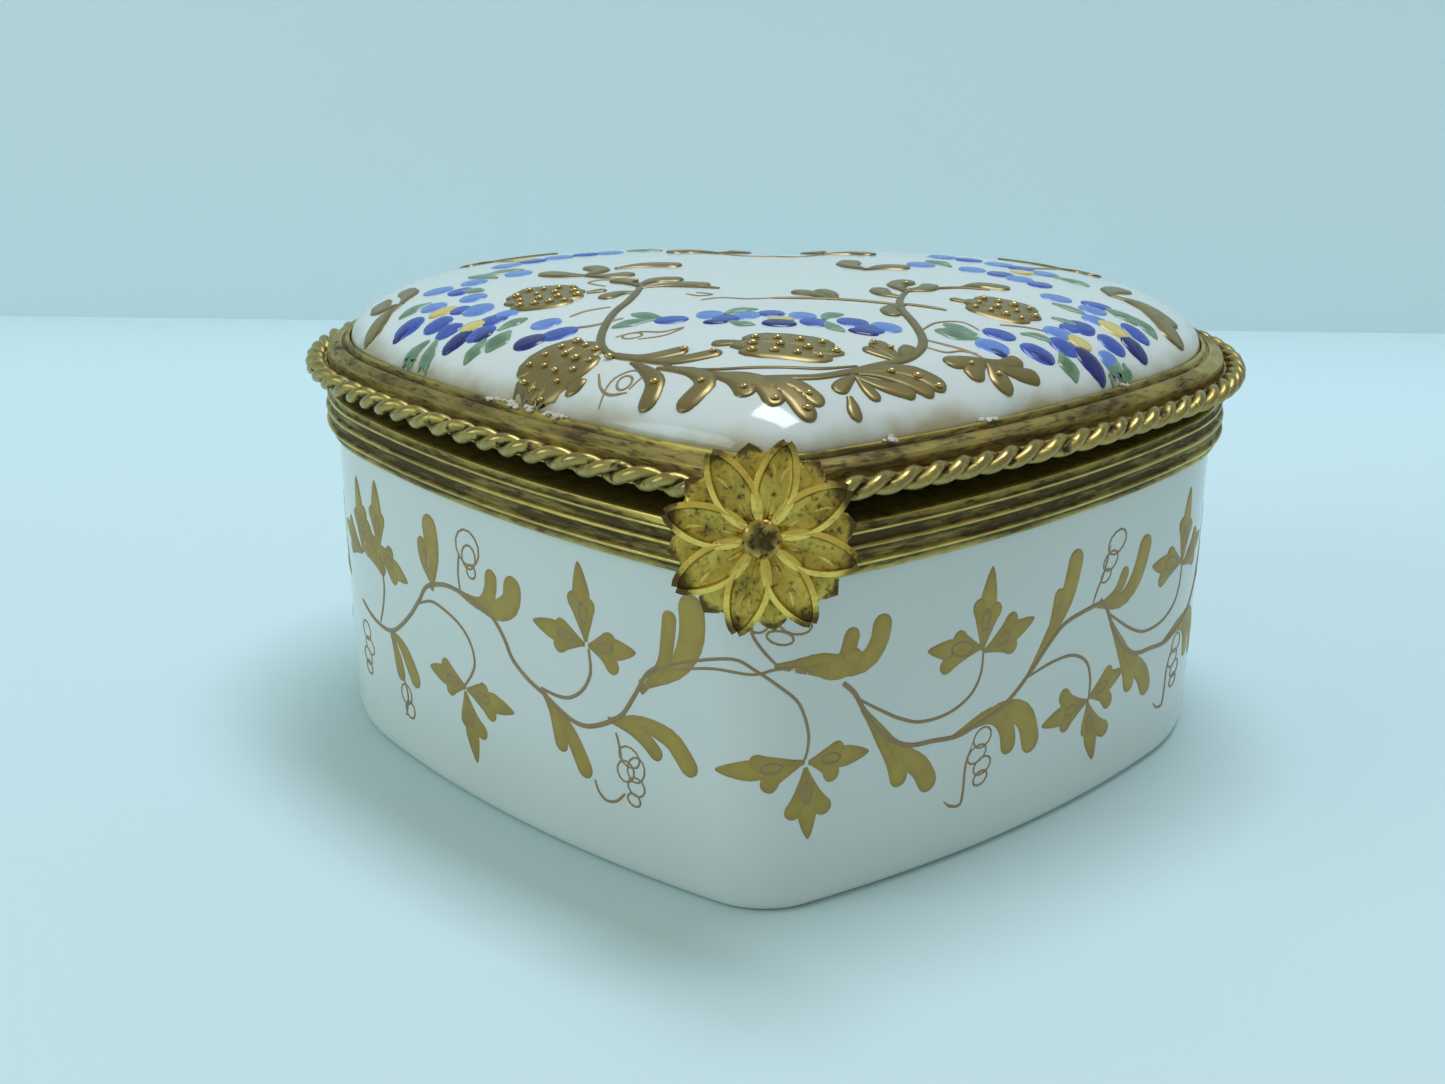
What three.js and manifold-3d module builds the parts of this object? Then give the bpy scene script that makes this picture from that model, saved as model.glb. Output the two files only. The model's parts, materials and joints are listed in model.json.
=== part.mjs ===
// A heart-shaped porcelain trinket box with a hinged lid, in millimetres, +Z up.
// The origin is the middle of the flat foot; the point of the heart faces -Y, the hinge is at +Y.
// The lid group turns about the hinge pin and stands slightly ajar, its catch not snapped shut.
import * as THREE from "three";
import { ParametricGeometry } from "three/addons/geometries/ParametricGeometry.js";
import { mergeVertices } from "three/addons/utils/BufferGeometryUtils.js";
import Module from "manifold-3d";

// The heart's outline: four arcs on each side, tip, flank, lobe and cleft.
const HALF_WIDTH = 30;
const LOBE_X = 11.5;
const LOBE_Y = 7.5;
const TIP_Y = -26;
const TIP_RADIUS = 5.5;
const FLANK_RADIUS = 86;
const CLEFT_RADIUS = 7;
const LOBE_RADIUS = HALF_WIDTH - LOBE_X;
const ARC_STEPS = { tip: 5, flank: 9, lobe: 20, cleft: 4 };
const HEART_MIDDLE = new THREE.Vector2(0, 2);

// Heights above the table, lid closed.
const BASE_RIM_Z = 22.2;
const COLLAR_BOTTOM_Z = 20.5;
const COLLAR_TOP_Z = 23.6;
const LID_RIM_Z = 23.7;
const LID_SHOULDER_Z = 26.1;
const DOME_RISE = 4.8;

// Walls and gaps.
const WALL = 2.5;
const FLOOR = 2.6;
const LID_WALL = 2.3;
const FIT_GAP = 0.1;
const MOUTH_INSET = 3.3;
const LID_INSET = 1.15;

// Brass mouldings, measured outwards from the porcelain wall.
const RIB_CREST = 0.75;
const RIB_GROOVE = 0.45;
const BEZEL_OUT = 0.45;
const ROPE_RADIUS = 0.74;
const ROPE_CENTRE_OUT = 1.26;
const ROPE_CENTRE_Z = 24.5;
const ROPE_HINGE_GAP = 6.5;

// The hinge.
const HINGE_Y = 27.5;
const HINGE_Z = 23.6;
const AJAR_DEGREES = 1.5;
const BARREL_RADIUS = 1.1;
const BARREL_BORE = 0.6;
const PIN_RADIUS = 0.5;
const BARREL_HALF_LENGTH = 5;
const MIDDLE_HALF_LENGTH = 1.75;
const KNUCKLE_GAP = 0.15;

// The clasp: a sixteen-petal flower on a tongue that hangs in front of the collar.
const FLOWER_RADIUS = 5.1;
const FLOWER_PETALS = 16;
const FLOWER_Z = 22.85;
const FLOWER_BACK_Y = -29.25;
const FLOWER_LEAN_DEGREES = 8;
const TONGUE_WIDTH = 4;
const TONGUE_BACK_Y = -28.15;
const TONGUE_THICKNESS = 0.5;
const TONGUE_BOTTOM_Z = 20.9;

const PORCELAIN = { color: 0xe9f0ee, roughness: 0.12, metalness: 0 };
const BRASS = { color: 0x9a8238, roughness: 0.38, metalness: 1 };
const BRIGHT_BRASS = { color: 0xb59a2e, roughness: 0.32, metalness: 1 };
const PLASTER = { color: 0xddd8c8, roughness: 0.9, metalness: 0 };

const wasm = await Module();
wasm.setup();

// ---- The outline ---------------------------------------------------------------------------

function circleBetween(lobe, tip) {
  // Centre of the flank's arc, which holds both the lobe's and the tip's circle inside it.
  const apart = lobe.distanceTo(tip);
  const toLobe = FLANK_RADIUS - LOBE_RADIUS;
  const toTip = FLANK_RADIUS - TIP_RADIUS;
  const along = (toLobe ** 2 - toTip ** 2 + apart ** 2) / (2 * apart);
  const across = Math.sqrt(toLobe ** 2 - along ** 2);
  const ahead = tip.clone().sub(lobe).normalize();
  const left = new THREE.Vector2(ahead.y, -ahead.x);
  return lobe.clone().addScaledVector(ahead, along).addScaledVector(left, across);
}

function heartOutline() {
  // Points of the outline from the tip round the right side to the cleft and back, each with
  // the direction that points away from the heart there.
  const tip = new THREE.Vector2(0, TIP_Y + TIP_RADIUS);
  const lobe = new THREE.Vector2(LOBE_X, LOBE_Y);
  const flank = circleBetween(lobe, tip);
  const cleftY = LOBE_Y + Math.sqrt((LOBE_RADIUS + CLEFT_RADIUS) ** 2 - LOBE_X ** 2);
  const cleft = new THREE.Vector2(0, cleftY);
  const bearing = (from, to) => Math.atan2(to.y - from.y, to.x - from.x);
  const tipEnd = bearing(flank, tip);
  const flankEnd = bearing(flank, lobe);
  const lobeEnd = bearing(lobe, cleft);
  const arcs = [
    [tip, TIP_RADIUS, -Math.PI / 2, tipEnd, ARC_STEPS.tip],
    [flank, FLANK_RADIUS, tipEnd, flankEnd, ARC_STEPS.flank],
    [lobe, LOBE_RADIUS, flankEnd, lobeEnd, ARC_STEPS.lobe],
    [cleft, -CLEFT_RADIUS, lobeEnd, Math.PI / 2, ARC_STEPS.cleft],
  ];
  const half = [];
  for (const [centre, radius, from, to, steps] of arcs) {
    for (let i = 0; i < steps; i++) {
      const angle = from + ((to - from) * i) / steps;
      const away = new THREE.Vector2(Math.cos(angle), Math.sin(angle));
      half.push({ at: centre.clone().addScaledVector(away, radius), away });
    }
  }
  const notch = { at: new THREE.Vector2(0, cleftY - CLEFT_RADIUS), away: new THREE.Vector2(0, 1) };
  const mirrored = half
    .slice(1)
    .reverse()
    .map(({ at, away }) => ({
      at: new THREE.Vector2(-at.x, at.y),
      away: new THREE.Vector2(-away.x, away.y),
    }));
  return [...half, notch, ...mirrored];
}

const OUTLINE = heartOutline();

function outlinePoint(index, out) {
  const { at, away } = OUTLINE[index % OUTLINE.length];
  return at.clone().addScaledVector(away, out);
}

// ---- Solids --------------------------------------------------------------------------------

function weld(geometry) {
  // One closed surface: shared corners merged, triangles that have collapsed dropped.
  geometry.deleteAttribute("normal");
  geometry.deleteAttribute("uv");
  const merged = mergeVertices(geometry, 1e-4);
  const corners = merged.index.array;
  const kept = [];
  for (let i = 0; i < corners.length; i += 3) {
    const [a, b, c] = corners.slice(i, i + 3);
    if (a !== b && b !== c && c !== a) kept.push(a, b, c);
  }
  merged.setIndex(kept);
  return merged;
}

function aroundHeart(profile) {
  // Sweeps a profile round the heart. Each row is [out, z, scale]: the outline moved outwards
  // by out, then drawn towards the heart's middle by scale, at height z.
  const rows = profile.length - 1;
  const steps = OUTLINE.length;
  const surface = (u, v, target) => {
    const [out, z, scale = 1] = profile[Math.round(v * rows)];
    const point = outlinePoint(Math.round(u * steps), out);
    point.sub(HEART_MIDDLE).multiplyScalar(scale).add(HEART_MIDDLE);
    target.set(point.x, point.y, z);
  };
  return weld(new ParametricGeometry(surface, steps, rows));
}

function ringOf(profile) {
  return aroundHeart([...profile, profile[0]]);
}

function solidOf(geometry) {
  const welded = weld(geometry.clone());
  return new wasm.Manifold(
    new wasm.Mesh({
      numProp: 3,
      vertProperties: welded.attributes.position.array,
      triVerts: new Uint32Array(welded.index.array),
    }),
  );
}

function geometryOf(solid) {
  const { vertProperties, triVerts } = solid.getMesh();
  const geometry = new THREE.BufferGeometry();
  geometry.setAttribute("position", new THREE.BufferAttribute(vertProperties, 3));
  geometry.setIndex(new THREE.BufferAttribute(triVerts, 1));
  return geometry;
}

function part(name, geometry, finish) {
  const mesh = new THREE.Mesh(geometry, new THREE.MeshStandardMaterial(finish));
  mesh.name = name;
  return mesh;
}

// ---- Base ----------------------------------------------------------------------------------

function porcelainBase() {
  return aroundHeart([
    [-1.2, 0, 0],
    [-1.2, 0],
    [-0.6, 0.3],
    [-0.35, 1.1],
    [0, BASE_RIM_Z - 0.3],
    [-0.3, BASE_RIM_Z],
    [-WALL, BASE_RIM_Z],
    [-WALL - 0.3, FLOOR + 2],
    [-WALL - 1.9, FLOOR],
    [-WALL - 1.9, FLOOR, 0],
  ]);
}

function baseCollar() {
  // Three ribs with two grooves between them, over a plain bottom edge; the top is turned in
  // over the porcelain.
  const profile = [
    [FIT_GAP, COLLAR_BOTTOM_Z],
    [RIB_GROOVE - 0.1, COLLAR_BOTTOM_Z],
  ];
  const ribPitch = 1;
  const flat = 0.25;
  for (let rib = 0; rib < 3; rib++) {
    const low = COLLAR_BOTTOM_Z + 0.45 + rib * ribPitch;
    profile.push([RIB_CREST, low], [RIB_CREST, low + flat]);
    if (rib < 2) profile.push([RIB_GROOVE, low + (ribPitch + flat) / 2]);
  }
  profile.push(
    [RIB_GROOVE, COLLAR_TOP_Z],
    [-MOUTH_INSET, COLLAR_TOP_Z],
    [-MOUTH_INSET, COLLAR_TOP_Z - 0.7],
    [FIT_GAP, COLLAR_TOP_Z - 0.7],
  );
  return ringOf(profile);
}

function cementRing(inner, outer, bottom, top) {
  return ringOf([
    [inner, bottom],
    [outer, bottom],
    [outer, top],
    [inner, top],
  ]);
}

function catchNub() {
  // A half-round pip across the front of the collar.
  const behind = TIP_Y - RIB_CREST - 0.05;
  const shape = new THREE.Shape();
  shape.moveTo(behind, 21.5);
  shape.lineTo(behind, 22.5);
  shape.lineTo(behind - 0.6, 22.5);
  shape.absarc(behind - 0.6, 22, 0.5, Math.PI / 2, (3 * Math.PI) / 2, false);
  shape.lineTo(behind, 21.5);
  return extrudeAlongX(shape, -1, 1, 6);
}

// ---- Lid -----------------------------------------------------------------------------------

function domeHeight(reach) {
  // Height of the dome above its shoulder, for a share of the way from the middle to the edge.
  return DOME_RISE * (1 - reach ** 3.5) ** (1 / 1.7);
}

function lidDome() {
  const top = [1, 0.985, 0.93, 0.82, 0.65, 0.4, 0];
  const under = [0, 0.45, 0.72, 0.9, 1];
  const bottom = LID_RIM_Z + 1.2;
  return aroundHeart([
    ...under.map((k) => [-LID_INSET - LID_WALL, LID_SHOULDER_Z - LID_WALL + domeHeight(k), k]),
    [-LID_INSET - LID_WALL, bottom],
    [-LID_INSET, bottom],
    ...top.map((k) => [-LID_INSET, LID_SHOULDER_Z + domeHeight(k), k]),
  ]);
}

function lidBezel() {
  // From the lip that grips the dome, over a groove and a broad roll, down behind the rope,
  // and in under the porcelain.
  return ringOf([
    [-MOUTH_INSET, LID_RIM_Z],
    [BEZEL_OUT, LID_RIM_Z],
    [BEZEL_OUT, 25.25],
    [0.4, 25.55],
    [0.1, 25.8],
    [-0.35, 25.9],
    [-0.65, 25.8],
    [-0.8, 26.1],
    [-LID_INSET + FIT_GAP, 26.15],
    [-LID_INSET + FIT_GAP, LID_RIM_Z + 0.5],
    [-MOUTH_INSET, LID_RIM_Z + 0.5],
  ]);
}

class RopeCurve extends THREE.Curve {
  // Follows the outline from one side of the hinge, round the tip, to the other side.
  constructor() {
    super();
    this.points = OUTLINE.map((_, i) => outlinePoint(i, ROPE_CENTRE_OUT));
    const half = OUTLINE.length / 2;
    this.reach = half - 1;
    while (Math.abs(this.points[this.reach].x) < ROPE_HINGE_GAP) this.reach--;
  }

  getPoint(t, target = new THREE.Vector3()) {
    const along = this.reach * (2 * t - 1);
    const before = Math.floor(along);
    const count = this.points.length;
    const from = this.points[(before + count) % count];
    const to = this.points[(before + 1 + count) % count];
    const point = from.clone().lerp(to, along - before);
    return target.set(point.x, point.y, ROPE_CENTRE_Z);
  }
}

function ropeBorder() {
  const curve = new RopeCurve();
  const section = new THREE.Shape();
  section.absarc(0, 0, ROPE_RADIUS, 0, 2 * Math.PI, false);
  return weld(
    new THREE.ExtrudeGeometry(section, {
      extrudePath: curve,
      steps: 2 * curve.reach,
      curveSegments: 4,
      bevelEnabled: false,
    }),
  );
}

// ---- Clasp ---------------------------------------------------------------------------------

function claspTongue() {
  // A bent strip: along over the rope, then straight down in front of it.
  const front = TONGUE_BACK_Y - TONGUE_THICKNESS;
  const start = TIP_Y - BEZEL_OUT + 0.25;
  const top = 25.95;
  const shape = new THREE.Shape([
    new THREE.Vector2(start, top),
    new THREE.Vector2(front, top),
    new THREE.Vector2(front, TONGUE_BOTTOM_Z),
    new THREE.Vector2(TONGUE_BACK_Y, TONGUE_BOTTOM_Z),
    new THREE.Vector2(TONGUE_BACK_Y, top - TONGUE_THICKNESS + 0.1),
    new THREE.Vector2(start - 0.45, top - TONGUE_THICKNESS + 0.1),
  ]);
  return extrudeAlongX(shape, -TONGUE_WIDTH / 2, TONGUE_WIDTH / 2, 1);
}

function claspFlower() {
  // A shallow dished rosette, its face along +Z before it is stood up. Each petal bows the rim
  // outwards.
  const rows = [
    [0, 0],
    [0.5, 0.05],
    [1, 0.35],
    [1, 0.75],
    [0.7, 0.95],
    [0.22, 0.55],
    [0, 0.55],
  ];
  const stepsPerPetal = 4;
  const steps = FLOWER_PETALS * stepsPerPetal;
  const surface = (u, v, target) => {
    const [share, z] = rows[Math.round(v * (rows.length - 1))];
    const step = Math.round(u * steps) % steps;
    const bow = Math.sin((Math.PI * (step % stepsPerPetal)) / stepsPerPetal);
    const radius = share * FLOWER_RADIUS * (0.93 + 0.07 * bow);
    const angle = (2 * Math.PI * step) / steps;
    target.set(radius * Math.cos(angle), radius * Math.sin(angle), z);
  };
  return weld(new ParametricGeometry(surface, steps, rows.length - 1));
}

function claspBoss() {
  const profile = [
    new THREE.Vector2(0, 0.65),
    new THREE.Vector2(1.05, 0.65),
    new THREE.Vector2(1.05, 0.9),
    new THREE.Vector2(0.75, 1.2),
    new THREE.Vector2(0, 1.3),
  ];
  return weld(new THREE.LatheGeometry(profile, 24).rotateX(Math.PI / 2));
}

// ---- Hinge ---------------------------------------------------------------------------------

function extrudeAlongX(shape, from, to, curveSegments) {
  // The shape is drawn in (y, z).
  const geometry = new THREE.ExtrudeGeometry(shape, {
    depth: to - from,
    curveSegments,
    bevelEnabled: false,
  });
  const turn = new THREE.Matrix4().makeBasis(
    new THREE.Vector3(0, 1, 0),
    new THREE.Vector3(0, 0, 1),
    new THREE.Vector3(1, 0, 0),
  );
  return weld(geometry.applyMatrix4(turn).translate(from, 0, 0));
}

function hingeLeaf(out, rear, bottom, top) {
  // A plate as wide as the hinge, whose front edge follows the rim round the cleft at a small gap.
  const middle = OUTLINE.length / 2;
  const front = [];
  for (let i = middle - ARC_STEPS.cleft - 1; i <= middle + ARC_STEPS.cleft + 1; i++) {
    front.push(outlinePoint(i, out));
  }
  const halfWidth = front[0].x;
  const shape = new THREE.Shape([
    ...front,
    new THREE.Vector2(-halfWidth, rear),
    new THREE.Vector2(halfWidth, rear),
  ]);
  const plate = new THREE.ExtrudeGeometry(shape, { depth: top - bottom, bevelEnabled: false });
  return weld(plate.translate(0, 0, bottom));
}

function hingeKnuckle(from, to, footEdge) {
  // A length of tube with a soldered foot that reaches to its leaf, bored for the pin.
  const rod = (radius, start, end) => {
    const disc = new THREE.Shape();
    disc.absarc(HINGE_Y, HINGE_Z, radius, 0, 2 * Math.PI, false);
    return solidOf(extrudeAlongX(disc, start, end, 12));
  };
  const footTop = Math.max(HINGE_Z, footEdge);
  const footBottom = Math.min(HINGE_Z, footEdge);
  const foot = new THREE.BoxGeometry(to - from, 1.2, footTop - footBottom);
  foot.translate((from + to) / 2, HINGE_Y - 0.3, (footTop + footBottom) / 2);
  return geometryOf(
    rod(BARREL_RADIUS, from, to)
      .add(solidOf(foot))
      .subtract(rod(BARREL_BORE, from - 1, to + 1)),
  );
}

function hingePin() {
  // A wire with a peened head at each end.
  const head = { radius: 0.85, from: BARREL_HALF_LENGTH + 0.08, to: BARREL_HALF_LENGTH + 0.4 };
  const profile = [
    [0, -head.to],
    [head.radius - 0.15, -head.to],
    [head.radius, -head.from],
    [PIN_RADIUS, -head.from],
    [PIN_RADIUS, head.from],
    [head.radius, head.from],
    [head.radius - 0.15, head.to],
    [0, head.to],
  ].map(([radius, along]) => new THREE.Vector2(radius, along));
  const pin = new THREE.LatheGeometry(profile, 20).rotateZ(-Math.PI / 2);
  return weld(pin.translate(0, HINGE_Y, HINGE_Z));
}

// ---- Assembly ------------------------------------------------------------------------------

const base = new THREE.Group();
base.add(
  part("porcelain_base", porcelainBase(), PORCELAIN),
  part("base_cement", cementRing(-WALL, -0.1, BASE_RIM_Z + 0.05, COLLAR_TOP_Z - 0.75), PLASTER),
  part("base_collar", baseCollar(), BRASS),
  part("catch_nub", catchNub(), BRASS),
);

const baseLeafTop = 22.3;
const lidLeafBottom = 24.9;
const outerKnuckle = [MIDDLE_HALF_LENGTH + KNUCKLE_GAP, BARREL_HALF_LENGTH];
const baseFoot = baseLeafTop + 0.05;
const lidFoot = lidLeafBottom - 0.05;
base.add(
  part("hinge_leaf_base", hingeLeaf(RIB_CREST + FIT_GAP, 28.2, 20.9, baseLeafTop), BRASS),
  part("hinge_knuckle_base_right", hingeKnuckle(outerKnuckle[0], outerKnuckle[1], baseFoot), BRASS),
  part("hinge_knuckle_base_left", hingeKnuckle(-outerKnuckle[1], -outerKnuckle[0], baseFoot), BRASS),
  part("hinge_pin", hingePin(), BRASS),
);

const flower = new THREE.Group();
flower.position.set(0, FLOWER_BACK_Y, FLOWER_Z);
flower.rotation.x = Math.PI / 2 - THREE.MathUtils.degToRad(FLOWER_LEAN_DEGREES);
flower.add(
  part("clasp_flower", claspFlower(), BRIGHT_BRASS),
  part("clasp_boss", claspBoss(), BRIGHT_BRASS),
);

const closedLid = new THREE.Group();
closedLid.position.set(0, -HINGE_Y, -HINGE_Z);
closedLid.add(
  part("lid_dome", lidDome(), PORCELAIN),
  part("lid_cement", cementRing(-3.2, -LID_INSET, LID_RIM_Z + 0.55, LID_RIM_Z + 1.15), PLASTER),
  part("lid_bezel", lidBezel(), BRASS),
  part("rope_border", ropeBorder(), BRASS),
  part("clasp_tongue", claspTongue(), BRASS),
  flower,
  part("hinge_leaf_lid", hingeLeaf(BEZEL_OUT + FIT_GAP, 28, lidLeafBottom, 25.5), BRASS),
  part("hinge_knuckle_lid", hingeKnuckle(-MIDDLE_HALF_LENGTH, MIDDLE_HALF_LENGTH, lidFoot), BRASS),
);

const lid = new THREE.Group();
lid.position.set(0, HINGE_Y, HINGE_Z);
lid.rotation.x = -THREE.MathUtils.degToRad(AJAR_DEGREES);
lid.add(closedLid);

const box = new THREE.Group();
box.add(base, lid);

export default box;
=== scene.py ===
import json
import math
import random

import bpy
from mathutils import Matrix, Vector
from mathutils.bvhtree import BVHTree


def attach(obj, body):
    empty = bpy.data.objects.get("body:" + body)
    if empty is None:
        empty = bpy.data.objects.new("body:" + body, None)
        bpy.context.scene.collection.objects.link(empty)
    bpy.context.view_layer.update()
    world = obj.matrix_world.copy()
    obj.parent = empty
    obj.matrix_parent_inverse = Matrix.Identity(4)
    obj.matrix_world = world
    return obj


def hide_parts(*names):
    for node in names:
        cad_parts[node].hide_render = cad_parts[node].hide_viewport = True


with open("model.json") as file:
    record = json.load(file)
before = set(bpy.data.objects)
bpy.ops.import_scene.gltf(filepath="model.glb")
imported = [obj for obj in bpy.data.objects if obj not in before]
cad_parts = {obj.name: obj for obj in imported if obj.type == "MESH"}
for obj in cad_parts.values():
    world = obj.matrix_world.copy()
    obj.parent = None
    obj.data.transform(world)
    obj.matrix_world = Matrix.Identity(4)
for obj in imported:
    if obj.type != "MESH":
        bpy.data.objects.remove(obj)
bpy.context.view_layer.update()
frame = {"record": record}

MM = 0.001
lid_hinge = frame["record"]["behaviour"]["joints"][0]
hinge_at = Vector(lid_hinge["pos_m"])
ajar = math.radians(-lid_hinge["range_deg"][0])

# ---- Porcelain base ------------------------------------------------------------------------
# A slip-cast heart-shaped bowl, fired and glazed, with straight walls that draw in slightly
# towards an unglazed foot rim. Its outline is four arcs on each side, each running into the next:
# round the tip, along the flank, round the lobe and into the cleft.

tip_y = -26 * MM
tip_radius, flank_radius, lobe_radius, cleft_radius = 5.5 * MM, 86 * MM, 18.5 * MM, 7 * MM
tip = Vector((0, tip_y + tip_radius))
lobe = Vector((11.5, 7.5)) * MM
cleft = Vector((0, lobe.y + math.sqrt((lobe_radius + cleft_radius) ** 2 - lobe.x ** 2)))
heart_middle = Vector((0, 2 * MM))


def flank_centre():
    """The middle of the flank's arc, which holds the tip's and the lobe's circles inside it."""
    apart = (tip - lobe).length
    to_lobe = flank_radius - lobe_radius
    to_tip = flank_radius - tip_radius
    along = (to_lobe ** 2 - to_tip ** 2 + apart ** 2) / (2 * apart)
    ahead = (tip - lobe).normalized()
    left = Vector((ahead.y, -ahead.x))
    return lobe + ahead * along + left * math.sqrt(to_lobe ** 2 - along ** 2)


def bearing(centre, to):
    """The angle at which one point is seen from another."""
    return math.atan2(to.y - centre.y, to.x - centre.x)


flank = flank_centre()
tip_to_flank = bearing(flank, tip)
flank_to_lobe = bearing(flank, lobe)
lobe_to_cleft = bearing(lobe, cleft)
# Each arc: its centre, its radius, the bearings where it starts and ends, and its steps.
arcs = [
    (tip, tip_radius, -math.pi / 2, tip_to_flank, 12),
    (flank, flank_radius, tip_to_flank, flank_to_lobe, 26),
    (lobe, lobe_radius, flank_to_lobe, lobe_to_cleft, 44),
    (cleft, -cleft_radius, lobe_to_cleft, math.pi / 2, 8),
]


def draw_wire(name, points, rounding=0.0, closed=True):
    """A wire in the plane of the tip, drawn point by point; each point is (out, height) in mm."""
    bpy.ops.object.select_all(action="DESELECT")
    bpy.ops.mesh.primitive_plane_add(size=MM)
    piece = bpy.context.object
    piece.name = name
    bpy.ops.object.mode_set(mode="EDIT")
    bpy.ops.mesh.select_all(action="SELECT")
    bpy.ops.mesh.merge(type="CENTER")
    path = [Vector((0, tip_y - out * MM, z * MM)) for out, z in points]
    if closed:
        path.append(path[0])
    bpy.ops.transform.translate(value=path[0])
    for before, after in zip(path, path[1:]):
        bpy.ops.mesh.extrude_vertices_move(TRANSFORM_OT_translate={"value": after - before})
    bpy.ops.mesh.select_all(action="SELECT")
    bpy.ops.mesh.remove_doubles(threshold=0.001 * MM)
    if rounding:
        bpy.ops.mesh.select_all(action="SELECT")
        bpy.ops.mesh.bevel(offset=rounding * MM, offset_type="OFFSET", segments=3, affect="VERTICES")
    return piece


def sweep_round_heart(piece):
    """Spins the wire round each arc in turn, then mirrors that half to make the whole heart."""
    bpy.ops.mesh.select_all(action="SELECT")
    for centre, radius, start, end, steps in arcs:
        bpy.ops.mesh.spin(steps=steps, angle=start - end, center=(*centre, 0), axis=(0, 0, 1))
    bpy.ops.object.mode_set(mode="OBJECT")
    mirror = piece.modifiers.new("other half", "MIRROR")
    mirror.merge_threshold = 0.01 * MM
    bpy.ops.object.modifier_apply(modifier=mirror.name)


def select_loop(piece, height):
    """Selects the open edge of a piece that lies at a height."""
    bpy.ops.object.mode_set(mode="EDIT")
    bpy.ops.mesh.select_mode(type="EDGE")
    bpy.ops.mesh.select_all(action="SELECT")
    bpy.ops.mesh.region_to_loop()
    bpy.ops.object.mode_set(mode="OBJECT")
    for edge in piece.data.edges:
        ends = [piece.data.vertices[i].co for i in edge.vertices]
        if any(abs(end.z - height * MM) > 0.02 * MM for end in ends):
            edge.select = False
    bpy.ops.object.mode_set(mode="EDIT")


def close_over(rings):
    """Draws the selected loop in over the heart, ring by ring; each ring is (share, rise in mm)."""
    before, low = 1.0, 0.0
    for share, rise in rings:
        bpy.ops.mesh.extrude_region_move(
            TRANSFORM_OT_translate={"value": (0, 0, (rise - low) * MM)})
        bpy.ops.transform.resize(
            value=(share / before, share / before, 1), center_override=(*heart_middle, 0))
        before, low = share, rise
    bpy.ops.mesh.merge(type="CENTER")


def smooth(piece, angle=40):
    """Joins seams, turns the faces outwards and shades the piece smooth up to an angle."""
    if bpy.context.object.mode != "EDIT":
        bpy.ops.object.mode_set(mode="EDIT")
    bpy.ops.mesh.select_mode(type="VERT")
    bpy.ops.mesh.select_all(action="SELECT")
    bpy.ops.mesh.remove_doubles(threshold=0.002 * MM)
    bpy.ops.mesh.normals_make_consistent(inside=False)
    bpy.ops.object.mode_set(mode="OBJECT")
    bpy.ops.object.shade_smooth_by_angle(angle=math.radians(angle))


bowl = draw_wire("bowl", [
    (-3.6, 0.35), (-3.3, 0.02), (-1.25, 0.0), (-0.85, 0.08), (-0.6, 0.28), (-0.44, 0.6), (-0.36, 1.2),
    (-0.24, 7.0), (-0.12, 14.0), (-0.02, 21.6), (-0.1, 22.05), (-0.35, 22.2), (-2.2, 22.2),
    (-2.45, 22.0), (-2.55, 18.0), (-2.65, 11.0), (-2.8, 5.2), (-3.05, 4.0), (-3.6, 3.2), (-4.5, 2.72),
    (-5.6, 2.6),
], closed=False)
sweep_round_heart(bowl)
select_loop(bowl, 0.35)
close_over([(0.95, 0.05), (0.7, 0.05), (0.35, 0.05), (0.05, 0.05)])
select_loop(bowl, 2.6)
close_over([(0.9, 0), (0.6, 0), (0.3, 0), (0.05, 0)])
smooth(bowl)


def blank_material(name):
    """A material with its nodes, its links and its main shader."""
    material = bpy.data.materials.new(name)
    material.use_nodes = True
    nodes, links = material.node_tree.nodes, material.node_tree.links
    return material, nodes, links, nodes["Principled BSDF"]


def blend(nodes, links, factor, *colours):
    """Mixes two colours, each given as three numbers or as another node's output."""
    mix = nodes.new("ShaderNodeMix")
    mix.data_type = "RGBA"
    links.new(factor, mix.inputs["Factor"])
    for socket, colour in zip((mix.inputs["A"], mix.inputs["B"]), colours):
        if isinstance(colour, tuple):
            socket.default_value = (*colour, 1)
        else:
            links.new(colour, socket)
    return mix.outputs["Result"]


def remap(nodes, links, value, start, end, low=0.0, high=1.0):
    """Turns the span from start to end into the span from low to high."""
    node = nodes.new("ShaderNodeMapRange")
    for name, number in (("From Min", start), ("From Max", end), ("To Min", low), ("To Max", high)):
        node.inputs[name].default_value = number
    links.new(value, node.inputs["Value"])
    return node.outputs["Result"]


def clouds(nodes, links, scale, detail):
    """A cloudy noise through the piece, its scale in clouds per metre."""
    place = nodes.new("ShaderNodeTexCoord")
    noise = nodes.new("ShaderNodeTexNoise")
    noise.inputs["Scale"].default_value = scale
    noise.inputs["Detail"].default_value = detail
    links.new(place.outputs["Object"], noise.inputs["Vector"])
    return noise.outputs["Fac"]


def emboss(nodes, links, shader, height, strength, depth):
    """Raises and sinks the shaded surface by a texture, to a depth in mm."""
    bump = nodes.new("ShaderNodeBump")
    bump.inputs["Strength"].default_value = strength
    bump.inputs["Distance"].default_value = depth * MM
    links.new(height, bump.inputs["Height"])
    links.new(bump.outputs["Normal"], shader.inputs["Normal"])


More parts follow.
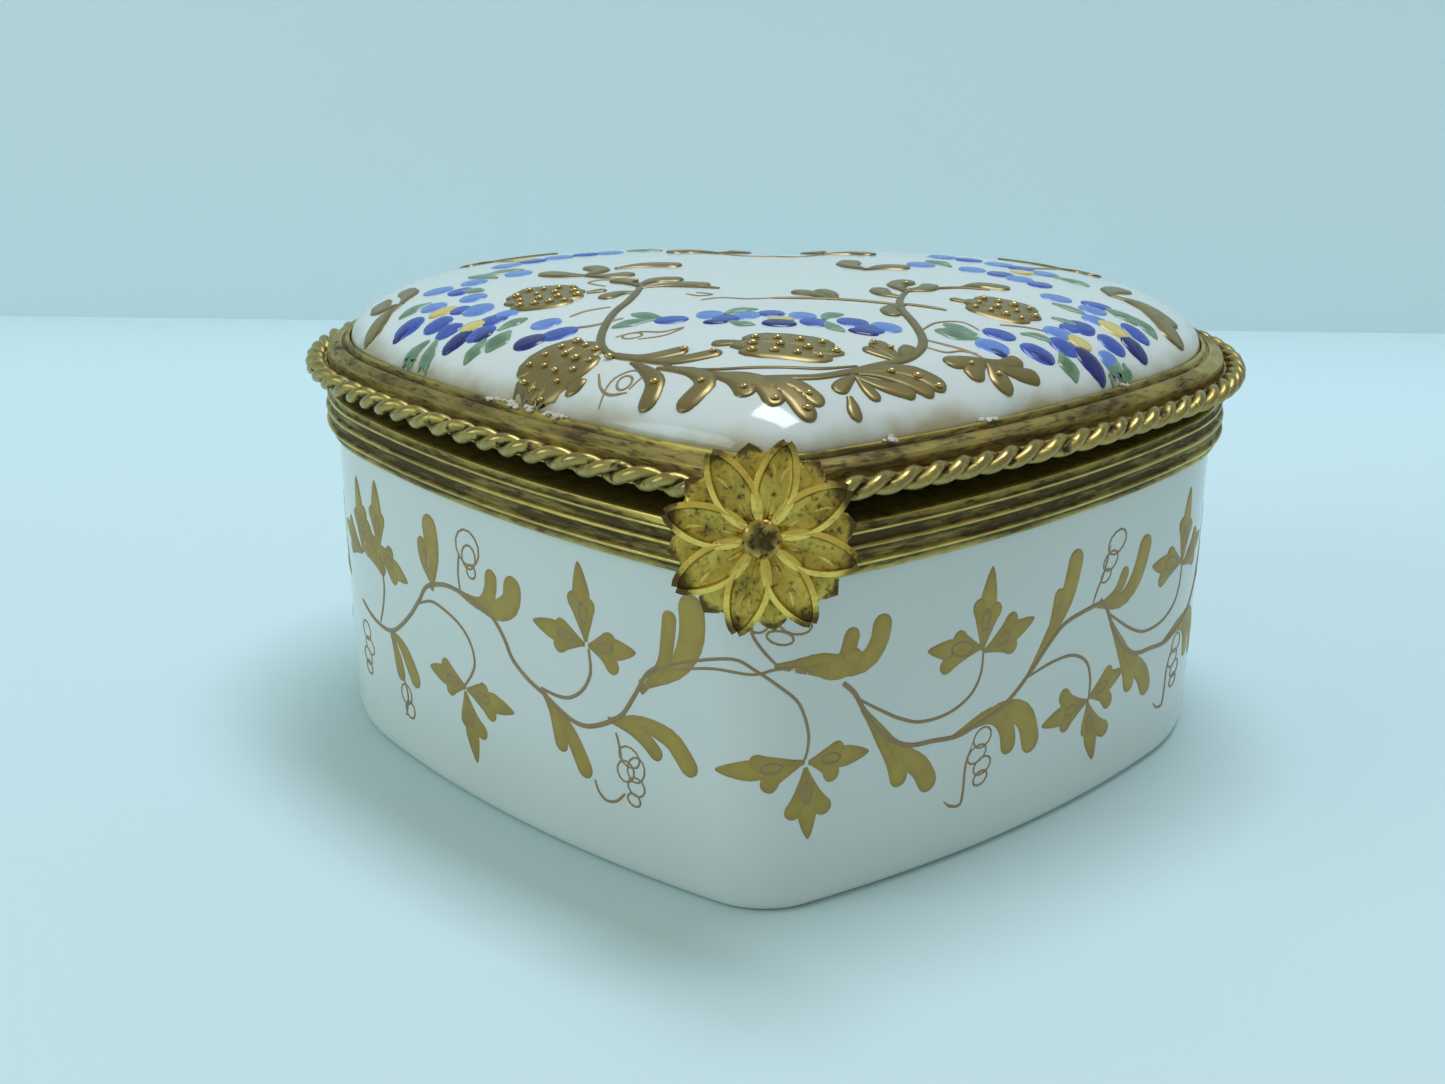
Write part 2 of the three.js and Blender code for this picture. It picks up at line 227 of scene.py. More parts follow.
def speckle_group():
    """Firing flaws: a slow cloud over the glaze, and sparse dark pin-point specks."""
    group = bpy.data.node_groups.new("firing flaws", "ShaderNodeTree")
    for way, names in (("INPUT", ("Cloud size", "Speck size")), ("OUTPUT", ("Cloud", "Specks"))):
        for name in names:
            group.interface.new_socket(name, in_out=way, socket_type="NodeSocketFloat")
    nodes, links = group.nodes, group.links
    given, result = nodes.new("NodeGroupInput"), nodes.new("NodeGroupOutput")
    place = nodes.new("ShaderNodeTexCoord")
    cloud = nodes.new("ShaderNodeTexNoise")
    cloud.inputs["Detail"].default_value = 3
    specks = nodes.new("ShaderNodeTexVoronoi")
    specks.inputs["Randomness"].default_value = 1
    links.new(place.outputs["Object"], cloud.inputs["Vector"])
    links.new(place.outputs["Object"], specks.inputs["Vector"])
    links.new(given.outputs["Cloud size"], cloud.inputs["Scale"])
    links.new(given.outputs["Speck size"], specks.inputs["Scale"])
    speck_edge, speck_core = 0.018, 0.01
    links.new(cloud.outputs["Fac"], result.inputs["Cloud"])
    links.new(remap(nodes, links, specks.outputs["Distance"], speck_edge, speck_core),
              result.inputs["Specks"])
    return group


firing_flaws = speckle_group()


def glaze(name, stained_rim):
    """White porcelain under clear glaze, faintly uneven, with a stain where a rim holds dirt."""
    material, nodes, links, shader = blank_material(name)
    shader.inputs["Roughness"].default_value = 0.1
    shader.inputs["IOR"].default_value = 1.5
    shader.inputs["Subsurface Weight"].default_value = 0.06
    shader.inputs["Subsurface Radius"].default_value = (0.6 * MM, 0.7 * MM, 0.7 * MM)
    shader.inputs["Subsurface Scale"].default_value = 1.0
    flaws = nodes.new("ShaderNodeGroup")
    flaws.node_tree = firing_flaws
    flaws.inputs["Cloud size"].default_value = 90
    flaws.inputs["Speck size"].default_value = 160
    grey_white, warm_white = (0.67, 0.73, 0.71), (0.74, 0.78, 0.765)
    speck_brown, rim_stain = (0.25, 0.22, 0.18), (0.42, 0.33, 0.16)
    body = blend(nodes, links, flaws.outputs["Cloud"], grey_white, warm_white)
    surface = blend(nodes, links, flaws.outputs["Specks"], body, speck_brown)
    if stained_rim:
        rim = nodes.new("ShaderNodeAttribute")
        rim.attribute_name = "rim"
        reach = nodes.new("ShaderNodeMath")
        reach.operation = "MULTIPLY"
        links.new(rim.outputs["Fac"], reach.inputs[0])
        links.new(clouds(nodes, links, 260, 4), reach.inputs[1])
        spread = remap(nodes, links, reach.outputs["Value"], 0.2, 0.5, high=0.8)
        surface = blend(nodes, links, spread, surface, rim_stain)
    links.new(surface, shader.inputs["Base Color"])
    emboss(nodes, links, shader, flaws.outputs["Cloud"], strength=0.05, depth=0.05)
    return material


bowl.data.materials.append(glaze("glazed porcelain", stained_rim=False))
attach(bowl, "base")
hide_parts("porcelain_base")

# ---- Base collar ---------------------------------------------------------------------------
# A band of rolled gilt brass, pressed round the mouth of the bowl: three ribs with coves between
# them, a plain lip below, and the top edge turned in over the porcelain.

collar = draw_wire("collar", [
    (0.1, 20.5), (0.32, 20.5), (0.42, 20.6), (0.44, 20.95), (0.58, 21.06), (0.74, 21.16),
    (0.74, 21.28), (0.52, 21.44), (0.46, 21.68), (0.52, 21.94), (0.7, 22.08), (0.75, 22.18),
    (0.68, 22.3), (0.5, 22.42), (0.45, 22.64), (0.5, 22.86), (0.62, 22.94), (0.64, 23.06),
    (0.52, 23.16), (0.46, 23.34), (0.4, 23.52), (0.2, 23.6), (-3.2, 23.6), (-3.3, 23.5),
    (-3.3, 22.92), (0.1, 22.9),
], rounding=0.03)
sweep_round_heart(collar)
smooth(collar, 50)


def grime(piece, hollow=80, crest=100, blur=1):
    """Marks hollows dark and crests light in a colour attribute: the crests as wear leaves them, the
    hollows as dirt and painted shade.
    """
    bpy.ops.object.select_all(action="DESELECT")
    piece.select_set(True)
    bpy.context.view_layer.objects.active = piece
    bpy.ops.geometry.color_attribute_add(
        name="grime", domain="POINT", data_type="FLOAT_COLOR", color=(1, 1, 1, 1))
    bpy.ops.paint.vertex_color_dirt(
        dirt_angle=math.radians(hollow), clean_angle=math.radians(crest),
        blur_iterations=blur, normalize=False)
    marks = piece.data.color_attributes["grime"].data
    shades = sorted(mark.color[0] for mark in marks)
    outliers = len(shades) // 20
    low, high, darkest = shades[outliers], shades[-outliers], 0.15
    for mark in marks:
        share = (mark.color[0] - low) / max(high - low, 0.01)
        shade = darkest + (1 - darkest) * min(1, max(0, share))
        mark.color = (shade, shade, shade, 1)


def tarnish_and_shade_group():
    """Old gilding: bright on worn crests, olive on the flats, black-brown in pits, and black-brown in
    hollows as dirt with painted shade.
    """
    group = bpy.data.node_groups.new("tarnish_and_shade", "ShaderNodeTree")
    for way, kind, names in (
            ("INPUT", "Float", ("Grime", "Patch size", "Pit size", "Pit amount", "Streak")),
            ("INPUT", "Color", ("Bright", "Dull", "Dark")),
            ("OUTPUT", "Color", ("Color",)),
            ("OUTPUT", "Float", ("Roughness", "Height"))):
        for name in names:
            group.interface.new_socket(name, in_out=way, socket_type="NodeSocket" + kind)
    nodes, links = group.nodes, group.links
    given, result = nodes.new("NodeGroupInput"), nodes.new("NodeGroupOutput")
    place = nodes.new("ShaderNodeTexCoord")
    drawn_out = nodes.new("ShaderNodeCombineXYZ")
    drawn_out.inputs["X"].default_value = drawn_out.inputs["Y"].default_value = 1
    streaked = nodes.new("ShaderNodeVectorMath")
    streaked.operation = "MULTIPLY"
    links.new(given.outputs["Streak"], drawn_out.inputs["Z"])
    links.new(place.outputs["Object"], streaked.inputs[0])
    links.new(drawn_out.outputs["Vector"], streaked.inputs[1])
    patches = nodes.new("ShaderNodeTexNoise")
    patches.inputs["Detail"].default_value = 5
    patches.inputs["Roughness"].default_value = 0.65
    pits = nodes.new("ShaderNodeTexNoise")
    pits.inputs["Detail"].default_value = 2
    for texture, size in ((patches, "Patch size"), (pits, "Pit size")):
        links.new(streaked.outputs["Vector"], texture.inputs["Vector"])
        links.new(given.outputs[size], texture.inputs["Scale"])

    def add(operation, a, b):
        node = nodes.new("ShaderNodeMath")
        node.operation = operation
        for socket, value in zip(node.inputs, (a, b)):
            if isinstance(value, (int, float)):
                socket.default_value = value
            else:
                links.new(value, socket)
        return node.outputs["Value"]

    drift = add("MULTIPLY", add("SUBTRACT", patches.outputs["Fac"], 0.5), 1.1)
    # The grime mask puts painted shade in the hollows, along with dirt and wear.
    wear_and_shade = add("ADD", given.outputs["Grime"], drift)
    pitted = add("MULTIPLY", add("SUBTRACT", 0.5, pits.outputs["Fac"]), given.outputs["Pit amount"])
    wear_and_shade = add("SUBTRACT", wear_and_shade, add("MAXIMUM", pitted, 0.0))
    dulled_and_shaded = blend(nodes, links, remap(nodes, links, wear_and_shade, 0.12, 0.48),
                   given.outputs["Dark"], given.outputs["Dull"])
    worn_and_shaded = blend(nodes, links, remap(nodes, links, wear_and_shade, 0.5, 0.95), dulled_and_shaded, given.outputs["Bright"])
    links.new(worn_and_shaded, result.inputs["Color"])
    dull_rough, worn_rough = 0.62, 0.24
    links.new(remap(nodes, links, wear_and_shade, 0.1, 0.9, dull_rough, worn_rough), result.inputs["Roughness"])
    links.new(wear_and_shade, result.inputs["Height"])
    return group


tarnish_and_shade = tarnish_and_shade_group()


def brass(name, bright, dull, dark, patch=300, pit=2200, pit_amount=1.2, streak=1, relief=0.03):
    """Gilt brass, its colour set by its pits and by its grime attribute: wear on the crests, dirt and
    painted shade in the hollows.
    """
    material, nodes, links, shader = blank_material(name)
    shader.inputs["Metallic"].default_value = 0.9
    coat = nodes.new("ShaderNodeGroup")
    coat.node_tree = tarnish_and_shade
    marks = nodes.new("ShaderNodeAttribute")
    marks.attribute_name = "grime"
    links.new(marks.outputs["Fac"], coat.inputs["Grime"])
    for name, value in (
            ("Patch size", patch), ("Pit size", pit), ("Pit amount", pit_amount), ("Streak", streak),
            ("Bright", (*bright, 1)), ("Dull", (*dull, 1)), ("Dark", (*dark, 1))):
        coat.inputs[name].default_value = value
    links.new(coat.outputs["Color"], shader.inputs["Base Color"])
    links.new(coat.outputs["Roughness"], shader.inputs["Roughness"])
    emboss(nodes, links, shader, coat.outputs["Height"], strength=0.5, depth=relief)
    return material


aged_brass = brass("aged brass", (0.84, 0.65, 0.19), (0.46, 0.355, 0.10), (0.10, 0.07, 0.03),
                   patch=160, pit=900, pit_amount=1.0, streak=6)
# The coves between the ribs take painted shade from this mask, as well as dirt.
grime(collar)
collar.data.materials.append(aged_brass)
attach(collar, "base")
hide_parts("base_collar")

# ---- Plaster beds, catch and hinge ---------------------------------------------------------
# White plaster fills the brass rims behind the porcelain. The hinge is two plates with a bored
# tube in three lengths on a wire pin, and the catch a half-round pip: all cut brass, soldered on.


def plaster():
    """Dull off-white plaster, grainy, browned in patches."""
    material, nodes, links, shader = blank_material("plaster")
    shader.inputs["Roughness"].default_value = 0.9
    flaws = nodes.new("ShaderNodeGroup")
    flaws.node_tree = firing_flaws
    flaws.inputs["Cloud size"].default_value = 900
    flaws.inputs["Speck size"].default_value = 1500
    browned, off_white = (0.42, 0.38, 0.28), (0.80, 0.79, 0.72)
    links.new(blend(nodes, links, flaws.outputs["Cloud"], browned, off_white),
              shader.inputs["Base Color"])
    emboss(nodes, links, shader, flaws.outputs["Cloud"], strength=1, depth=0.1)
    return material


set_plaster = plaster()
for node in ("base_cement", "lid_cement"):
    bed = bpy.data.objects[node]
    bed.data.materials.clear()
    bed.data.materials.append(set_plaster)


def fine_copy(node):
    """A smooth version of a plain brass piece, its sharp edges broken as by a file."""
    source = bpy.data.objects[node]
    piece = source.copy()
    piece.data = source.data.copy()
    piece.name = node + "_filed"
    bpy.context.collection.objects.link(piece)
    bpy.ops.object.select_all(action="DESELECT")
    piece.select_set(True)
    bpy.context.view_layer.objects.active = piece
    bpy.ops.object.mode_set(mode="EDIT")
    bpy.ops.mesh.select_all(action="SELECT")
    bpy.ops.mesh.remove_doubles(threshold=0.001 * MM)
    bpy.ops.mesh.dissolve_limited(angle_limit=math.radians(1))
    bpy.ops.object.mode_set(mode="OBJECT")
    soften = piece.modifiers.new("filed edges", "BEVEL")
    soften.width = 0.08 * MM
    soften.segments = 2
    soften.limit_method = "ANGLE"
    soften.angle_limit = math.radians(30)
    bpy.ops.object.modifier_apply(modifier=soften.name)
    bpy.ops.object.shade_smooth_by_angle(angle=math.radians(35))
    grime(piece)
    piece.data.materials.clear()
    piece.data.materials.append(aged_brass)
    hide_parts(node)
    return piece


for node in ("catch_nub", "hinge_leaf_base", "hinge_knuckle_base_left", "hinge_knuckle_base_right",
             "hinge_pin"):
    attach(fine_copy(node), "base")
for node in ("hinge_leaf_lid", "hinge_knuckle_lid", "clasp_tongue"):
    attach(fine_copy(node), "lid")

# ---- Porcelain lid -------------------------------------------------------------------------
# The domed porcelain top, thinner than the bowl and hollow beneath, glazed all over. The lid's
# pieces are modelled shut and then turned up about the hinge to stand ajar, the catch unsnapped.


def lean(piece):
    """Turns a piece of the lid from shut to ajar, about the hinge pin."""
    turn = Matrix.Rotation(-ajar, 4, "X")
    piece.data.transform(Matrix.Translation(hinge_at) @ turn @ Matrix.Translation(-hinge_at))


def dome_rise(share):
    """Height of the dome above its shoulder, in mm, at a share of the way out from the middle."""
    return 4.7 * (1 - share ** 3.5) ** (1 / 1.7)


shares = [math.cos(math.radians(angle)) for angle in range(7, 86, 6)]
shoulder, crown = 26.0 * MM, 29.2 * MM
stain_reach = 2.4 * MM
dome = draw_wire("dome", [
    (-3.45, 25.4), (-3.4, 25.0), (-3.2, 24.9), (-1.4, 24.9), (-1.2, 25.0), (-1.15, 25.3), (-1.15, 26.1),
], closed=False)
sweep_round_heart(dome)
select_loop(dome, 26.1)
close_over([(share, dome_rise(share)) for share in shares])
select_loop(dome, 25.4)
close_over([(share, 0.75 * dome_rise(share)) for share in shares[::2]])
bpy.ops.mesh.select_all(action="DESELECT")
bpy.ops.object.mode_set(mode="OBJECT")
for vertex in dome.data.vertices:
    vertex.select = vertex.co.z > crown
bpy.ops.object.mode_set(mode="EDIT")
bpy.ops.mesh.vertices_smooth(factor=0.5, repeat=12)
smooth(dome)
rim = dome.data.attributes.new("rim", "FLOAT", "POINT")
for vertex in dome.data.vertices:
    if vertex.normal.z > 0:
        rim.data[vertex.index].value = max(0.0, 1 - (vertex.co.z - shoulder) / stain_reach)
dome.data.materials.append(glaze("glazed lid porcelain", stained_rim=True))
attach(dome, "lid")
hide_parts("lid_dome")

# ---- Lid bezel -----------------------------------------------------------------------------
# The brass rim of the lid: a thin lip burnished down on the porcelain, a deep groove, a broad
# roll that slopes out to the rope, and a flat rim under the porcelain that meets the collar.

bezel = draw_wire("bezel", [
    (-3.3, 23.7), (0.4, 23.7), (0.45, 23.76), (0.45, 25.2), (0.4, 25.42), (0.24, 25.6),
    (0.0, 25.74), (-0.26, 25.82), (-0.48, 25.82), (-0.6, 25.7), (-0.68, 25.72), (-0.76, 25.92),
    (-0.84, 26.1), (-0.94, 26.15), (-1.05, 26.12), (-1.06, 25.9), (-1.05, 24.25), (-1.1, 24.2),
    (-3.3, 24.2),
], rounding=0.04)
sweep_round_heart(bezel)
smooth(bezel, 50)
grime(bezel)
bezel.data.materials.append(aged_brass)
lean(bezel)
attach(bezel, "lid")
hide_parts("lid_bezel")

# ---- Rope border ---------------------------------------------------------------------------
# Two soft brass wires twisted together and soldered round the bezel, from one side of the hinge
# to the other. The twist leans up to the right all the way round.

strand_radius = 0.385 * MM
twist_radius = 0.32 * MM
rope_out, rope_height = 1.26 * MM, 24.5 * MM
loose_twist, tight_twist = 4.1 * MM, 3.7 * MM
rope_hinge_gap = 6.5 * MM
arc_lengths = [abs((end - start) * radius) for centre, radius, start, end, steps in arcs]
half_girth = sum(arc_lengths)


def on_outline(along, out=0.0):
    """The place on the heart's wall at a distance along from the tip, and the way it faces."""
    side = -1 if along < 0 else 1
    rest = min(abs(along), half_girth)
    for (centre, radius, start, end, steps), length in zip(arcs, arc_lengths):
        if rest <= length:
            break
        rest -= length
    angle = start + (end - start) * min(rest / length, 1)
    facing = Vector((math.cos(angle), math.sin(angle)))
    place = centre + facing * (radius + out)
    return Vector((side * place.x, place.y)), Vector((side * facing.x, facing.y))


rope_end = half_girth
while on_outline(rope_end, rope_out)[0].x < rope_hinge_gap:
    rope_end -= 0.1 * MM


def wire(name, splines, radius):
    """Round wires along smooth paths, made as one curve object; each point is (x, y, z, share)."""
    curve = bpy.data.curves.new(name, "CURVE")
    curve.dimensions = "3D"
    curve.bevel_depth = radius
    curve.bevel_resolution = 3
    curve.use_fill_caps = True
    for points in splines:
        spline = curve.splines.new("POLY")
        spline.points.add(len(points) - 1)
        for point, (x, y, z, share) in zip(spline.points, points):
            point.co = (x, y, z, 1)
            point.radius = share
    piece = bpy.data.objects.new(name, curve)
    bpy.context.collection.objects.link(piece)
    bpy.ops.object.select_all(action="DESELECT")
    piece.select_set(True)
    bpy.context.view_layer.objects.active = piece
    bpy.ops.object.convert(target="MESH")
    return bpy.context.object


strands = []
steps_per_twist = 18
count = int(2 * rope_end / tight_twist * steps_per_twist)
for start in (0, math.pi):
    points = []
    for i in range(count + 1):
        along = -rope_end + 2 * rope_end * i / count
        angle = start + math.tau * along / (loose_twist if along < 0 else tight_twist)
        angle += 0.5 * math.sin(along / (6.1 * MM)) + 0.3 * math.sin(along / (2.3 * MM) + 1)
        place, facing = on_outline(along, rope_out + twist_radius * math.cos(angle))
        points.append((place.x, place.y, rope_height + twist_radius * math.sin(angle), 1))
    strands.append(points)
rope = wire("rope", strands, strand_radius)
smooth(rope, 60)
grime(rope, 84, 104, blur=0)
rope_brass = brass("rope brass", (0.34, 0.26, 0.10), (0.48, 0.375, 0.11), (0.07, 0.05, 0.025),
                   patch=300, pit=1500, pit_amount=2.2)
rope.data.materials.append(rope_brass)
lean(rope)
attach(rope, "lid")
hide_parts("rope_border")

# The solder that holds the rope, run in behind it: a thin bead along the whole bezel.
solder_line = []
solder_steps = count // 4
for i in range(solder_steps + 1):
    place, facing = on_outline(-rope_end + 2 * rope_end * i / solder_steps, 0.6 * MM)
    solder_line.append((place.x, place.y, rope_height, 1))
solder = wire("rope_solder", [solder_line], 0.24 * MM)
smooth(solder, 60)
grime(solder)
solder.data.materials.append(rope_brass)
lean(solder)
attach(solder, "lid")

# ---- Clasp flower --------------------------------------------------------------------------
# A stamped rosette, riveted to the tongue: eight pointed petals like little trays stand over eight
# broad flat ones, and a roughly cast button closes the rivet. It faces slightly up.

flower_at = Vector((-0.15, -29.17, 22.85)) * MM
flower_lean = math.radians(8)
petal_reach = 5.1 * MM


def petal_sheet(name, x_steps, y_steps, shape):
    """A petal lying along +X, shaped from a flat sheet and then given its thickness."""
    bpy.ops.object.select_all(action="DESELECT")
    bpy.ops.mesh.primitive_grid_add(x_subdivisions=x_steps, y_subdivisions=y_steps, size=2)
    sheet = bpy.context.object
    sheet.name = name
    for vertex in sheet.data.vertices:
        vertex.co = Vector(shape((vertex.co.x + 1) / 2, vertex.co.y)) * MM
    wall = sheet.modifiers.new("thickness", "SOLIDIFY")
    wall.thickness = 0.32 * MM
    wall.offset = -1
    bpy.ops.object.modifier_apply(modifier=wall.name)
    return sheet


def raised_petal(along, across):
    """A pointed tray: a thin rim turned up round a sunk floor, the tip folded over."""
    along = 0.02 + 0.98 * along
    half = 0.88 * math.sin(math.pi * along ** 0.85) ** 0.62 if along < 0.999 else 0
    rim = max(0, (abs(across) - 0.84) / 0.16) ** 1.3
    fold = max(0, (along - 0.82) / 0.18)
    floor = 0.62 + 0.22 * math.sin(math.pi * min(1, along * 1.15)) - 0.18 * (1 - across ** 2)
    return 0.95 + 4.15 * along, across * half, floor + 0.24 * rim * (1 - fold) + 0.12 * fold


def broad_petal(along, across):
    """A flat blade with a blunt point, stepped down just inside its edge."""
    half = min(1.22, 0.34 + 1.35 * along) * (1 - 0.5 * max(0, (along - 0.74) / 0.26))
    edge = max(0, (along - 0.86) / 0.14)
    end = 0.42 * (1 - abs(across)) * along
    return (1 + 3.6 * along + end, across * half,
            0.5 + 0.1 * math.sin(3 * along) - 0.2 * min(1, edge * 2.5) + 0.06 * across ** 2)


blades = []
for name, x_steps, y_steps, shape, turned in (
        ("broad petal", 16, 8, broad_petal, 53.5), ("raised petal", 22, 24, raised_petal, 31)):
    first = petal_sheet(name, x_steps, y_steps, shape)
    for i in range(8):
        blade = first if i == 0 else first.copy()
        if i:
            blade.data = first.data.copy()
            bpy.context.collection.objects.link(blade)
        blades.append((blade, math.radians(turned + 45 * i)))
for blade, angle in blades:
    blade.data.transform(Matrix.Rotation(angle, 4, "Z"))
bpy.ops.object.select_all(action="DESELECT")
bpy.ops.mesh.primitive_circle_add(vertices=64, radius=4.5 * MM, fill_type="NGON",
                                  location=(0, 0, 0.08 * MM))
flower = bpy.context.object
flower.name = "flower"
bpy.ops.object.transform_apply()
bpy.ops.object.mode_set(mode="EDIT")
bpy.ops.mesh.extrude_region_move(TRANSFORM_OT_translate={"value": (0, 0, 0.22 * MM)})
bpy.ops.mesh.inset(thickness=1.2 * MM)
bpy.ops.mesh.inset(thickness=1.2 * MM)
bpy.ops.transform.translate(value=(0, 0, 0.15 * MM))
bpy.ops.object.mode_set(mode="OBJECT")
for blade, angle in blades:
    blade.select_set(True)
bpy.ops.object.join()
smooth(flower, 42)


def stand_up(piece):
    """Stands a piece of the clasp upright on the tongue, facing out from the tip."""
    turn = Matrix.Rotation(math.pi / 2 - flower_lean, 4, "X")
    piece.data.transform(Matrix.Translation(flower_at) @ turn)
    lean(piece)


grime(flower, 60, 100, blur=0)
marks = flower.data.color_attributes["grime"].data
# The tips are darkened, and painted shade darkens the low plate and broad petals under the raised ones.
for vertex in flower.data.vertices:
    out = vertex.co.xy.length / petal_reach
    at_tip = min(1, max(0, (out - 0.8) / 0.14))
    raised_part = min(1, max(0, (vertex.co.z / MM - 0.3) / 0.5))
    shade = 0.4 + 0.6 * marks[vertex.index].color[0]
    shade *= (1 - 0.8 * at_tip ** 1.5) * (0.75 + 0.25 * raised_part)
    marks[vertex.index].color = (shade, shade, shade, 1)
flower_brass = brass("flower brass", (0.86, 0.64, 0.14), (0.56, 0.41, 0.075), (0.14, 0.09, 0.03),
                     patch=600, pit=3200, pit_amount=1.4, relief=0.05)
flower.data.materials.append(flower_brass)
stand_up(flower)
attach(flower, "lid")
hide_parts("clasp_flower")

# The button in the middle: a low rivet head, dented in the middle and roughly cast.
bpy.ops.object.select_all(action="DESELECT")
bpy.ops.mesh.primitive_uv_sphere_add(segments=40, ring_count=24, radius=1.08 * MM)
button = bpy.context.object
button.name = "button"
for vertex in button.data.vertices:
    x, y, z = vertex.co / MM
    lumps = 0.05 * math.sin(5.1 * x + 2 * y + 1) * math.cos(4.3 * y - 2 * x)
    dent = 0.24 * math.exp(-(x * x + y * y) / 0.3)
    vertex.co.z = (0.78 + (max(z, -0.6) * 0.42 - dent + lumps if z > 0 else z * 0.3)) * MM
smooth(button, 80)
grime(button, 70, 100)
button.data.materials.append(brass(
    "button brass", (0.66, 0.47, 0.12), (0.40, 0.28, 0.075), (0.08, 0.055, 0.02),
    patch=900, pit=2600, pit_amount=3, relief=0.08))
stand_up(button)
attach(button, "lid")
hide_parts("clasp_boss")

# ---- Painting on the wall ------------------------------------------------------------------
# A gilded vine runs round the wall in waves: flat gold leaves laid on with a soft brush, and fine
# brown pen work for the stems, the tendrils and the rings inside the leaves, fired on the glaze.


def through(points, steps):
    """A smooth run through given points, with so many steps to each stretch."""
    last = len(points) - 1
    run = []
    for i in range(last):
        a, b, c, d = (Vector(points[min(max(j, 0), last)]) for j in (i - 1, i, i + 1, i + 2))
        for k in range(steps):
            t = k / steps
            run.append(b + (c - a) * t / 2 + (2 * a - 5 * b + 4 * c - d) * t ** 2 / 2
                       + (3 * b - a - 3 * c + d) * t ** 3 / 2)
    return run + [Vector(points[last])]


def brush(points, width, start=0.2, pointed=False):
    """A brush stroke: starts thin, swells towards its far end and stops round or in a point."""
    run = through(points, 8)
    gone = [0.0]
    for before, after in zip(run, run[1:]):
        gone.append(gone[-1] + (after - before).length)
    stroke = []
    steps = 14
    for k in range(steps + 1):
        share = 1 - (1 - k / steps) ** 1.7
        i = max(j for j in range(len(run) - 1) if gone[j] <= share * gone[-1] + 1e-9)
        part = (share * gone[-1] - gone[i]) / (gone[i + 1] - gone[i])
        left = (1 - share) * gone[-1]
        swell = math.sin(min(1, share / 0.72) * math.pi / 2) ** 1.4
        half = (start + (width - start) * swell) / 2
        if pointed:
            half *= min(1, (left / (0.42 * gone[-1])) ** 0.62)
        elif left < width / 2:
            half = min(half, math.sqrt(max(0, left * (width - left))))
        stroke.append((*run[i].lerp(run[i + 1], min(part, 1)), max(half, 0.02)))
    return stroke


def pen(points, width=0.2, fade=0.3):
    """A pen line of an even width that thins at both ends."""
    run = through(points, 5)
    last = len(run) - 1
    return [(*point, width / 2 * min(1, fade + (1 - fade) * min(i, last - i) / (0.15 * last + 1)))
            for i, point in enumerate(run)]


def ring(x, y, wide, high, tilt=0, width=0.16):
    """A small pen loop, closed on itself."""
    turn = Matrix.Rotation(math.radians(tilt), 2)
    loop = [Vector((x, y)) + turn @ Vector((wide / 2 * math.cos(a), high / 2 * math.sin(a)))
            for a in (math.tau * k / 12 for k in range(14))]
    return [(*point, width / 2) for point in loop]


def painted(name, strokes, thickness, place):
    """Lays strokes on a flat sheet as low relief, then presses the sheet on the porcelain."""
    sunk = -0.03 * MM
    piece = wire(name, [[(x * MM, y * MM, 0, half) for x, y, half in stroke] for stroke in strokes],
                 MM)
    body = piece.data.attributes.new("body", "FLOAT", "POINT")
    for vertex in piece.data.vertices:
        x, y, rise = vertex.co
        body.data[vertex.index].value = max(rise, 0) / MM
        if rise > 0:
            rise = thickness * MM * (1 - math.exp(-rise / (thickness * MM)))
        vertex.co = place(x, y, max(rise, sunk))
    bpy.ops.object.shade_smooth_by_angle(angle=math.radians(60))
    return piece


def on_wall(along, height, out):
    """A place on the bowl's wall, which leans out by a third of a millimetre on its way up."""
    foot_top, foot_out, slope = 1.2 * MM, -0.36 * MM, 0.0167
    place, facing = on_outline(along, foot_out + slope * (height - foot_top) + out)
    return Vector((place.x, place.y, height))


gilt, penned = [], []


def leaflet(node, tip, *lobes, ring_size=0.85):
    """A small leaf with a pointed tip and a round lobe on each side, and a ring penned inside."""
    node, tip = Vector(node), Vector(tip)
    blade_width, lobe_width = 1.625, 1.25
    gilt.append(brush([node, node.lerp(tip, 0.5), tip], blade_width, 0.3, pointed=True))
    for lobe in map(Vector, lobes):
        heart = node.lerp(tip, 0.3).lerp(lobe, 0.35)
        gilt.append(brush([node, heart, lobe], lobe_width, 0.3))
    centre = node.lerp(tip, 0.36)
    ahead = tip - node
    penned.append(ring(*centre, ring_size * 1.5, ring_size * 0.75,
                       math.degrees(math.atan2(ahead.y, ahead.x)), 0.2))


